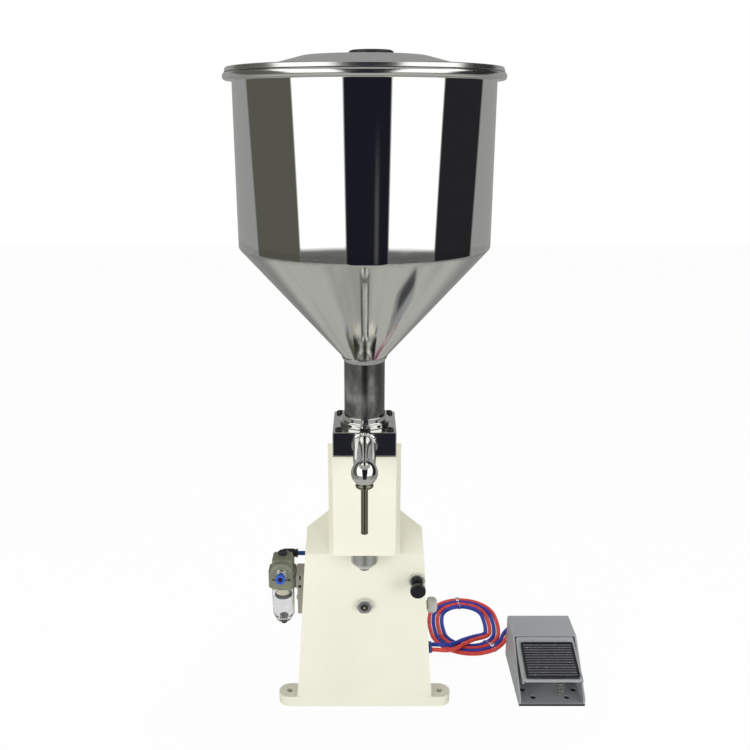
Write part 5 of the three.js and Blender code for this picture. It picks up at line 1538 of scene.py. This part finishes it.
class FILLER_OT_regulator(Operator):
    """Filter regulator: body, bonnet, knob, fittings, clear bowl, element, bracket."""

    bl_idname = "filler.regulator"
    bl_label = "Filter Regulator"

    def execute(self, context):
        self.fit = context.scene.filler_fittings
        self.looks = paints()
        self.low, self.high, self.middle = box_of("regulator_body")
        fitting = box_of("regulator_fitting")[2]
        self.port_z = fitting.z
        self.bonnet_foot = self.high.z - self.fit.bonnet_height
        self.add_body()
        self.add_knob()
        self.add_front_fitting()
        self.add_elbow()
        self.add_bowl()
        bracket = from_node("regulator_bracket", 0.7 * MM, 2, least=8 * MM)
        zinc = shade(context.scene.filler_paint.zinc, 1.6)
        plate_steel = finish_of("Bracket_Steel", machined, zinc, rough=0.5, lines=(30, 30, 1))
        piece("regulator_plate", bracket, plate_steel, stands_for=["regulator_bracket"])
        self.add_bolts()
        return {"FINISHED"}

    def add_body(self):
        x, y = self.middle.x, self.middle.y
        half_x, half_y, cut = (self.high.x - self.low.x) / 2, self.fit.body_depth / 2, 6 * MM
        outline = [
            (-half_x + cut, -half_y),
            (half_x - cut, -half_y),
            (half_x, -half_y + cut),
            (half_x, half_y - cut),
            (half_x - cut, half_y),
            (-half_x + cut, half_y),
            (-half_x, half_y - cut),
            (-half_x, -half_y + cut),
        ]
        outline = [(*corner, 1.6 * MM) for corner in outline]
        tall = self.bonnet_foot - self.low.z
        self.seam_z = self.port_z - self.fit.seam_drop
        lower = slab(fillet(outline, 3), self.seam_z - self.low.z - 0.4 * MM, at(x, y, self.low.z), 0.7 * MM)
        upper = slab(fillet(outline, 3), self.bonnet_foot - self.seam_z, at(x, y, self.seam_z), 0.9 * MM)
        core = fillet([(a * 0.96, b * 0.96, c) for a, b, c in outline], 3)
        neck = slab(core, tall - 2 * MM, at(x, y, self.low.z + 1 * MM))
        boss_radius = self.fit.boss_flats / 2
        corners = [
            (4.9 * MM, -20 * MM, 0.4 * MM),
            (boss_radius * 0.72, -20 * MM, 0.4 * MM),
            (boss_radius, -18.6 * MM, 0.8 * MM),
            (boss_radius, 18.6 * MM, 0.8 * MM),
            (boss_radius * 0.72, 20 * MM, 0.4 * MM),
            (4.9 * MM, 20 * MM, 0.4 * MM),
        ]
        boss = turned_ring(corners, 3, 64)
        pinch(boss, lambda turn: min(to_flats(turn, 8, math.pi / 8), 1.06), boss_radius * 0.8)
        boss.transform(facing((x, y, self.port_z), FORWARD))
        fit = self.fit
        deep = (fit.bonnet_front + fit.bonnet_back) / 2
        outline = fillet(corners_of(fit.bonnet_width / 2, deep, 3.5 * MM, (0, deep - fit.bonnet_front)), 4)
        place = at(x, y, self.bonnet_foot - 1 * MM)
        bonnet = slab(outline, fit.bonnet_height + 1 * MM, place, edge=1.8 * MM, segments=3)
        shape = merged(lower, upper, neck, boss, bonnet)
        piece("regulator_casting", shape, self.looks["casting"], stands_for=["regulator_body"])
        self.add_seam(x, y)

    def add_seam(self, x, y):
        """Dark gasket line across the boss where the two castings meet."""
        reach = self.fit.boss_flats / 2 + 0.05 * MM
        gasket = blunt_box(
            (x - reach * 0.84, y - 20.3 * MM, self.seam_z - 1 * MM),
            (x + reach * 0.84, y + 18 * MM, self.seam_z + 0.3 * MM),
            0.15 * MM,
            2,
        )
        piece("regulator_gasket", gasket, self.looks["rubber"])

    def add_knob(self):
        low, high, middle, radius = round_box("regulator_knob")
        tall = high.z - low.z
        corners = [
            (0, 0),
            (radius * 0.97, 0, 0.4 * MM),
            (radius, tall * 0.3, 0.6 * MM),
            (radius * 0.97, tall * 0.72, 0.9 * MM),
            (radius * 0.78, tall, 1.3 * MM),
            (radius * 0.6, tall, 0.5 * MM),
            (radius * 0.54, tall * 0.86, 0.5 * MM),
            (0, tall * 0.86),
        ]
        bm = turned(corners, 4, 6 * self.fit.grip_ribs)
        ribs = self.fit.grip_ribs
        pinch(bm, lambda turn: 1 - 0.03 * (0.5 + 0.5 * math.cos(turn * ribs)) ** 3, radius * 0.85)
        bm.transform(at(middle.x, middle.y, low.z))
        piece("regulator_grip", bm, self.looks["black"], "pressure_knob", ["regulator_knob"])

    def add_front_fitting(self):
        low, _, middle = box_of("regulator_fitting")
        place = facing((middle.x, self.low.y, middle.z), FORWARD)
        length = self.low.y - low.y
        radius = self.fit.fitting_radius
        body, collet = push_fitting(radius, 6 * MM, self.fit.collet_radius, length, 3.3 * MM, -8 * MM)
        shape = lathe(body, 56, place, ring=True)
        inner, outer = radius * 0.9, radius * 1.12
        flange = [(inner, -0.4 * MM), (outer, -0.4 * MM), (outer, 1.4 * MM, 0.5 * MM), (inner, 1.6 * MM)]
        shape = merged(shape, turned_ring(flange, 3, 56, place))
        steel = self.looks["steel"]
        piece("regulator_socket", shape, steel, stands_for=["regulator_fitting"])
        shape = lathe(collet, 56, place, ring=True)
        piece("regulator_collet", shape, self.looks["collet"])
        # Painted shade: a black disc that closes the collet's bore and darkens the open hole.
        hole = [(0, 0), (3.5 * MM, 0), (3.5 * MM, 1 * MM, 0.3 * MM), (0, 1 * MM)]
        core = turned(hole, 2, 32, place @ at(0, 0, length - 3.4 * MM))
        piece("regulator_bore_shade", core, self.looks["rubber"])

    def add_elbow(self):
        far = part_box("regulator_elbow")[1]
        radius = 6.2 * MM
        x, z = self.middle.x, self.port_z
        arm_y = far.y - radius
        reach = arm_y - self.high.y
        inside = [(0, -10 * MM), (4.4 * MM, -10 * MM), (4.4 * MM, 0)]
        corners = inside + [(radius, 0, 0.5 * MM), (radius, reach), (0, reach)]
        stub = turned(corners, 3, 48, facing((x, self.high.y, z), BACKWARD))
        knee = bmesh.new()
        bmesh.ops.create_uvsphere(knee, u_segments=40, v_segments=24, radius=radius)
        knee.transform(at(x, arm_y, z))
        end = far.x - x
        corners = [
            (2.9 * MM, 0),
            (radius, 0),
            (radius, end - 4.6 * MM, 0.4 * MM),
            (radius * 0.84, end - 4 * MM, 0.3 * MM),
            (radius * 0.84, end - 2 * MM, 0.2 * MM),
            (radius * 0.98, end - 1.4 * MM, 0.3 * MM),
            (radius * 0.98, end, 0.4 * MM),
            (2.9 * MM, end, 0.3 * MM),
        ]
        arm = turned_ring(corners, 3, 48, facing((x, arm_y, z), RIGHT))
        shape = merged(stub, knee, arm)
        piece("regulator_bend", shape, self.looks["black"], stands_for=["regulator_elbow"])
        low, high, middle = box_of("feed_tube")
        radius = (high.z - low.z) / 2
        inset = 3 * MM
        end = high.x - low.x + inset
        corners = [(2 * MM, 0), (radius, 0, 0.3 * MM), (radius, end), (2 * MM, end)]
        tube = turned_ring(corners, 3, 40, facing((low.x - inset, middle.y, middle.z), RIGHT))
        azure = finish_of("Feed_Tube", hose_plastic, (0.012, 0.09, 0.34))
        piece("regulator_feed", tube, azure, stands_for=["feed_tube"])

    def add_bowl(self):
        low, high, middle = box_of("regulator_bowl")
        wall = self.fit.bowl_wall
        radius = (high.x - low.x) / 2
        floor = low.z + 5.5 * MM
        corners = [
            (0, floor),
            (9.5 * MM, floor, 3 * MM),
            (radius - 0.5 * MM, floor + 11 * MM, 4 * MM),
            (radius, high.z - 14 * MM, 0.4 * MM),
            (radius, high.z - 3 * MM, 0.4 * MM),
            (radius + 0.9 * MM, high.z - 2.6 * MM, 0.3 * MM),
            (radius + 0.9 * MM, high.z, 0.3 * MM),
            (radius - wall, high.z),
            (radius - wall, floor + 11 * MM, 3.4 * MM),
            (9.5 * MM - wall, floor + 4 * MM, 2 * MM),
            (0, floor + 4 * MM),
        ]
        bowl = turned(corners, 5, 72, at(middle.x, middle.y, 0))
        piece("regulator_glass", bowl, self.looks["clear"], stands_for=["regulator_bowl"])
        corners = mm([(0, -8.2), (2.4, -8.2, 0.5), (2.8, -7.2, 0.3), (5.8, -7, 0.6), (5.8, -4.6, 0.5)])
        corners += mm([(3, -4.4), (3, -0.4), (5.2, -0.4), (5.2, 1, 0.4), (4.2, 1.6, 0.4)])
        corners += mm([(4.2, 4.8, 0.5), (2.6, 6, 0.5), (0, 6)])
        drain = turned(corners, 3, 40, facing((middle.x, middle.y, floor), DOWN))
        piece("regulator_drain", drain, self.looks["oxide"])
        low, high, middle = box_of("filter_element")
        corners = [
            (0, low.z + 5 * MM),
            (7.4 * MM, low.z + 5 * MM),
            (9.7 * MM, low.z + 5.4 * MM, 0.6 * MM),
            (9.7 * MM, high.z, 0.6 * MM),
            (0, high.z),
        ]
        element = turned(corners, 4, 48, at(middle.x, middle.y, 0))
        ivory = self.looks["ivory"]
        piece("regulator_element", element, ivory, stands_for=["filter_element"])
        corners = mm([(0, 0), (10.2, 0, 0.5), (11.5, 1.2, 0.6), (11.5, 4.2, 0.7), (9.2, 5.2, 0.6), (0, 5.2)])
        baffle = turned(corners, 3, 72)
        pinch(baffle, lambda turn: 1 - 0.05 * (0.5 + 0.5 * math.cos(12 * turn)) ** 2, 10.6 * MM)
        baffle.transform(at(middle.x, middle.y, low.z))
        matt = finish_of("Baffle_Plastic", moulded, (0.004, 0.004, 0.005), rough=0.7)
        piece("regulator_baffle", baffle, matt)

    def add_bolts(self):
        """Two screws that hold the bracket's plate to the wall, the black one in its arm, and a thin dark
        patch on the arm that paints the shade of its slot.
        """
        low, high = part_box("regulator_bracket")
        screws = []
        for y in (low.y + 8 * MM, high.y - 8 * MM):
            screws.append(pan_screw(3.6 * MM, facing((low.x + 1.9 * MM, y, low.z + 20 * MM), LEFT)))
        piece("regulator_bracket_screws", merged(*screws), self.looks["zinc"])
        head = pan_screw(2 * MM, facing((low.x + 5.2 * MM, low.y, self.low.z + 5 * MM), FORWARD))
        # Painted shade: a thin dark patch on the arm's face where its slot lies in shade.
        slot = slab(fillet(corners_of(1 * MM, 3.2 * MM, 0.95 * MM), 5), 0.3 * MM)
        slot.transform(facing((low.x + 5.6 * MM, low.y, high.z - 4.6 * MM), FORWARD))
        piece("regulator_arm_screw_and_slot_shade", merged(head, slot), self.looks["rubber"])


class FILLER_OT_ports(Operator):
    """Push-in hose ports in the stand's wall and on the pedal."""

    bl_idname = "filler.ports"
    bl_label = "Hose Ports"

    def execute(self, context):
        looks = paints()
        stand_length, pedal_length = 8.6 * MM, 12 * MM
        for name in ("red", "blue"):
            _, high, middle = box_of(f"hose_port_{name}")
            place = facing((high.x - stand_length, middle.y, middle.z), RIGHT)
            self.add_port(f"stand_port_{name}", place, stand_length, looks, f"hose_port_{name}")
            _, high, middle = box_of(f"pedal_port_{name}")
            place = facing((middle.x, high.y - pedal_length, middle.z), BACKWARD)
            self.add_port(f"pedal_socket_{name}", place, pedal_length, looks, f"pedal_port_{name}")
        return {"FINISHED"}

    def add_port(self, name, place, length, looks, node):
        """A fitting's body and the collet that stands out of it."""
        body, collet = push_fitting(5.4 * MM, length - 3 * MM, 4.9 * MM, length, 3.05 * MM, -9 * MM)
        shape = lathe(body, 48, place, ring=True)
        piece(name, shape, looks["black"], stands_for=[node])
        shape = lathe(collet, 48, place, ring=True)
        piece(f"{name}_collet", shape, looks["collet"])


class PedalSettings(PropertyGroup):
    corner: size("Corner", 5, "Rounding of the hood's edges")
    treadle_slope: angle("Treadle Slope", 17.4, "Slope of the treadle at rest")
    pad_width: size("Pad Width", 73, "Width of the ribbed pad")
    pad_length: size("Pad Length", 58, "Length of the ribbed pad")
    ribs: count("Pad Ribs", 13, "Cross ribs of the pad")
    sole: size("Sole", 2.8, "Height of the rubber lip along the front edge")
    spring_curls: count("Spring Curls", 7, "Turns of the return spring")


class FILLER_OT_pedal(Operator):
    """Foot pedal: housing, treadle, ribbed pad, pin, valve, plunger, rubber sole lip and a dark sheet as
    painted shade in the base's holes.
    """

    bl_idname = "filler.pedal"
    bl_label = "Foot Pedal"

    def execute(self, context):
        self.pedal = context.scene.filler_pedal
        self.looks = paints()
        self.low, self.high, self.middle = box_of("pedal_housing")
        self.add_housing()
        self.add_treadle()
        self.add_pad()
        self.add_works()
        self.add_sole_and_hole_shade()
        return {"FINISHED"}

    def add_housing(self):
        """Base, rear wall, two sides and the hood, pressed from one sheet."""
        housing = from_node("pedal_housing", 0, 1)
        outer = [e for e in housing.edges if self.is_outer_fold(e)]
        soften(housing, outer, self.pedal.corner, 5)
        clean(housing)
        rims = [e for e in housing.edges if is_sharp(e, 60) and e.calc_length() > 12 * MM]
        soften(housing, rims, 0.5 * MM, 2)
        clean(housing)
        piece("pedal_shell", housing, self.looks["pedal"], stands_for=["pedal_housing"])

    def is_outer_fold(self, edge):
        """Edges of the hood's outside: two long ones on top, the top rear one and the rear corners."""
        if not is_sharp(edge, 60):
            return False
        near = 0.05 * MM
        ends = [vert.co for vert in edge.verts]
        top = all(abs(end.z - self.high.z) < near for end in ends)
        rear = all(abs(end.y - self.high.y) < near for end in ends)
        side = any(all(abs(end.x - x) < near for end in ends) for x in (self.low.x, self.high.x))
        return (top and side) or (top and rear) or (rear and side)

    def tilt(self):
        """Place and slope of the treadle at rest, from its hinge pin."""
        pin = box_of("pedal_hinge_pin")[2]
        return Matrix.Translation(pin) @ Matrix.Rotation(self.pedal.treadle_slope, 4, "X")

    def add_treadle(self):
        """A plate whose sides and front roll down into lips."""
        half = 41 * MM
        front, back = -63 * MM, 6.9 * MM
        lift, sheet, lip = 5.1 * MM, 2 * MM, 7.1 * MM
        outline = fillet(
            [
                (-half, lift - sheet - lip),
                (-half, lift, 3.4 * MM),
                (half, lift, 3.4 * MM),
                (half, lift - sheet - lip),
                (half - sheet, lift - sheet - lip),
                (half - sheet, lift - sheet, 1.6 * MM),
                (-half + sheet, lift - sheet, 1.6 * MM),
                (-half + sheet, lift - sheet - lip),
            ],
            5,
        )
        turn = turned_to(RIGHT, UP, FORWARD)
        plate = slab(outline, back - front, at(0, back, 0) @ turn)
        plate.transform(self.tilt())
        inner_side = [(0, 0), (0, -sheet), (-2.4 * MM, -sheet, 2.2 * MM), (-2.6 * MM, -5.6 * MM)]
        outer_side = [(-4.6 * MM, -5.6 * MM), (-4.5 * MM, 0, 4 * MM)]
        rolled = fillet(inner_side + outer_side, 5)
        turn = turned_to(BACKWARD, UP, RIGHT)
        place = at(-half + 3 * MM, front + 4.4 * MM, lift) @ turn
        nose = slab(rolled, 2 * half - 6 * MM, place, 0.3 * MM)
        nose.transform(self.tilt())
        shape = merged(plate, nose)
        piece("pedal_plate", shape, self.looks["pedal"], "treadle", ["pedal_treadle"])

    def add_pad(self):
        """Rubber pad with a raised border and rounded cross ribs, whose lighter grey is a painted highlight.
        """
        pedal = self.pedal
        bottom = 5.4 * MM
        half, length = pedal.pad_width / 2, pedal.pad_length
        middle = -4 * MM - length / 2
        turn = at(0, middle, bottom)
        outer = fillet(corners_of(half, length / 2, 3 * MM), 5)
        inner = fillet(corners_of(half - 2.2 * MM, length / 2 - 2.2 * MM, 2 * MM), 5)
        sheet = slab(outer, 1.6 * MM, turn, 0.4 * MM)
        border = band(outer, inner, 2.6 * MM, turn @ at(0, 0, 1.7 * MM))
        ribs = []
        pitch = (length - 5.4 * MM) / pedal.ribs
        for rib in range(pedal.ribs):
            y = middle - length / 2 + 2.7 * MM + (rib + 0.5) * pitch
            ribs.append(
                blunt_box(
                    (-half + 3 * MM, y - pitch * 0.18, bottom + 1 * MM),
                    (half - 3 * MM, y + pitch * 0.18, bottom + 3.2 * MM),
                    0.6 * MM,
                    3,
                )
            )
        shape = merged(sheet, border)
        shape.transform(self.tilt())
        piece("pedal_rubber", shape, self.looks["pad"], "treadle", ["pedal_pad"])
        shape = merged(*ribs)
        shape.transform(self.tilt())
        # The ribs are a lighter grey rubber than the pad: a painted highlight along each rib.
        rib_highlight = finish_of("Worn_Rubber", vulcanised, (0.11, 0.112, 0.12))
        piece("pedal_rubber_ribs", shape, rib_highlight, "treadle")

    def add_works(self):
        """Hinge pin with riveted ends, valve body and plunger."""
        low, high, middle = box_of("pedal_hinge_pin")
        long = high.x - low.x
        corners = [
            (0, 0),
            (2.2 * MM, 0, 0.5 * MM),
            (2.0 * MM, 0.8 * MM),
            (2.0 * MM, long - 0.8 * MM),
            (2.2 * MM, long, 0.5 * MM),
            (0, long),
        ]
        pin = turned(corners, 3, 32, facing((low.x, middle.y, middle.z), RIGHT))
        piece("pedal_pin", pin, self.looks["zinc"], stands_for=["pedal_hinge_pin"])
        valve = from_node("pedal_valve", 0.8 * MM, 2, least=14 * MM)
        piece("pedal_valve_body", valve, self.looks["aluminium"], stands_for=["pedal_valve"])
        low, high, middle = box_of("pedal_plunger")
        tall = high.z - low.z
        corners = [(0, 0), (2 * MM, 0, 0.2 * MM), (2 * MM, tall, 1.9 * MM), (0, tall)]
        stem = turned(corners, 6, 32, at(middle.x, middle.y, low.z))
        piece("pedal_stem", stem, self.looks["steel"], "plunger", ["pedal_plunger"])

    def add_sole_and_hole_shade(self):
        """Rubber lip along the front edge, and a dark sheet in the bottom of the base that shows through its
        holes as painted shade.
        """
        low, high = self.low, self.high
        lip = blunt_box(
            (low.x + 0.2 * MM, low.y - 0.5 * MM, low.z + 0.03 * MM),
            (high.x - 0.2 * MM, low.y + 0.3 * MM, low.z + self.pedal.sole),
            0.25 * MM,
        )
        # Painted shade: a dark rubber sheet that darkens the base's holes.
        hole_shade = blunt_box(
            (low.x + 0.4 * MM, low.y - 0.25 * MM, low.z + 0.03 * MM),
            (high.x - 0.4 * MM, high.y - 3 * MM, low.z + 1.3 * MM),
            0.3 * MM,
        )
        piece("pedal_sole_and_hole_shade", merged(hole_shade, lip), self.looks["rubber"])


class FILLER_OT_springs(Operator):
    """Return spring of the pedal and the two springs of the check valves."""

    bl_idname = "filler.springs"
    bl_label = "Springs"

    def execute(self, context):
        looks = paints()
        pedal_curls = context.scene.filler_pedal.spring_curls
        table = [
            ("pedal_spring", "treadle_press", 0.7, pedal_curls, 12, "foot"),
            ("inlet_spring", "inlet_valve", 0.45, 4, 3, "foot"),
            ("outlet_spring", "outlet_valve", 0.45, 4, 2.5, "top"),
        ]
        for node, joint, wire, curls, travel, fixed_end in table:
            low, high, middle = box_of(node)
            radius = (high.x - low.x) / 2 - wire * MM
            shape = coil_spring(radius, low.z, high.z, wire * MM, curls, at(middle.x, middle.y, 0))
            made = piece(f"{node}_wound", shape, looks["turned"], stands_for=[node])
            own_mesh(made)
        return {"FINISHED"}


class FILLER_OT_inside(Operator):
    """Finishes of the working pieces inside the stand, which keep their solids' shapes."""

    bl_idname = "filler.inside"
    bl_label = "Inner Pieces"

    def execute(self, context):
        looks = paints()
        for finish, nodes in (
            ("zinc", ["bottom_plate", "cylinder_bracket"]),
            ("turned", ["metering_cylinder", "crosshead", "air_rod", "inlet_ball", "outlet_ball"]),
            ("aluminium", ["air_cylinder"]),
            ("rubber", ["piston_seal"]),
            ("pale", ["metering_piston"]),
        ):
            dress(looks[finish], *nodes)
        return {"FINISHED"}


class FILLER_PT_panel(Panel):
    """Lists the steps that build the machine, with their sizes and colours."""

    bl_idname = "FILLER_PT_panel"
    bl_label = "Filling Machine"
    bl_space_type = "VIEW_3D"
    bl_region_type = "UI"
    bl_category = "Filling Machine"

    def draw(self, context):
        for step in STEPS:
            self.layout.operator(step.bl_idname)
        for name, settings in SETTINGS.items():
            box = self.layout.box()
            values = getattr(context.scene, name)
            for field in settings.__annotations__:
                box.prop(values, field)


SETTINGS = {
    "filler_stage": StageSettings,
    "filler_paint": PaintSettings,
    "filler_hoses": HoseSettings,
    "filler_hopper": HopperSettings,
    "filler_stand": StandSettings,
    "filler_fittings": FittingSettings,
    "filler_pedal": PedalSettings,
}

STEPS = (
    FILLER_OT_stage,
    FILLER_OT_hoses,
    FILLER_OT_hopper,
    FILLER_OT_lid,
    FILLER_OT_stand,
    FILLER_OT_block,
    FILLER_OT_drive,
    FILLER_OT_air_valve,
    FILLER_OT_regulator,
    FILLER_OT_ports,
    FILLER_OT_pedal,
    FILLER_OT_springs,
    FILLER_OT_inside,
)


def register():
    for settings in SETTINGS.values():
        bpy.utils.register_class(settings)
    for name, settings in SETTINGS.items():
        setattr(bpy.types.Scene, name, PointerProperty(type=settings))
    for step in STEPS:
        bpy.utils.register_class(step)
    bpy.utils.register_class(FILLER_PT_panel)


def unregister():
    bpy.utils.unregister_class(FILLER_PT_panel)
    for step in reversed(STEPS):
        bpy.utils.unregister_class(step)
    for name in SETTINGS:
        delattr(bpy.types.Scene, name)
    for settings in SETTINGS.values():
        bpy.utils.unregister_class(settings)


def main():
    register()
    for step in STEPS:
        group, name = step.bl_idname.split(".")
        getattr(getattr(bpy.ops, group), name)()


if __name__ == "__main__":
    main()
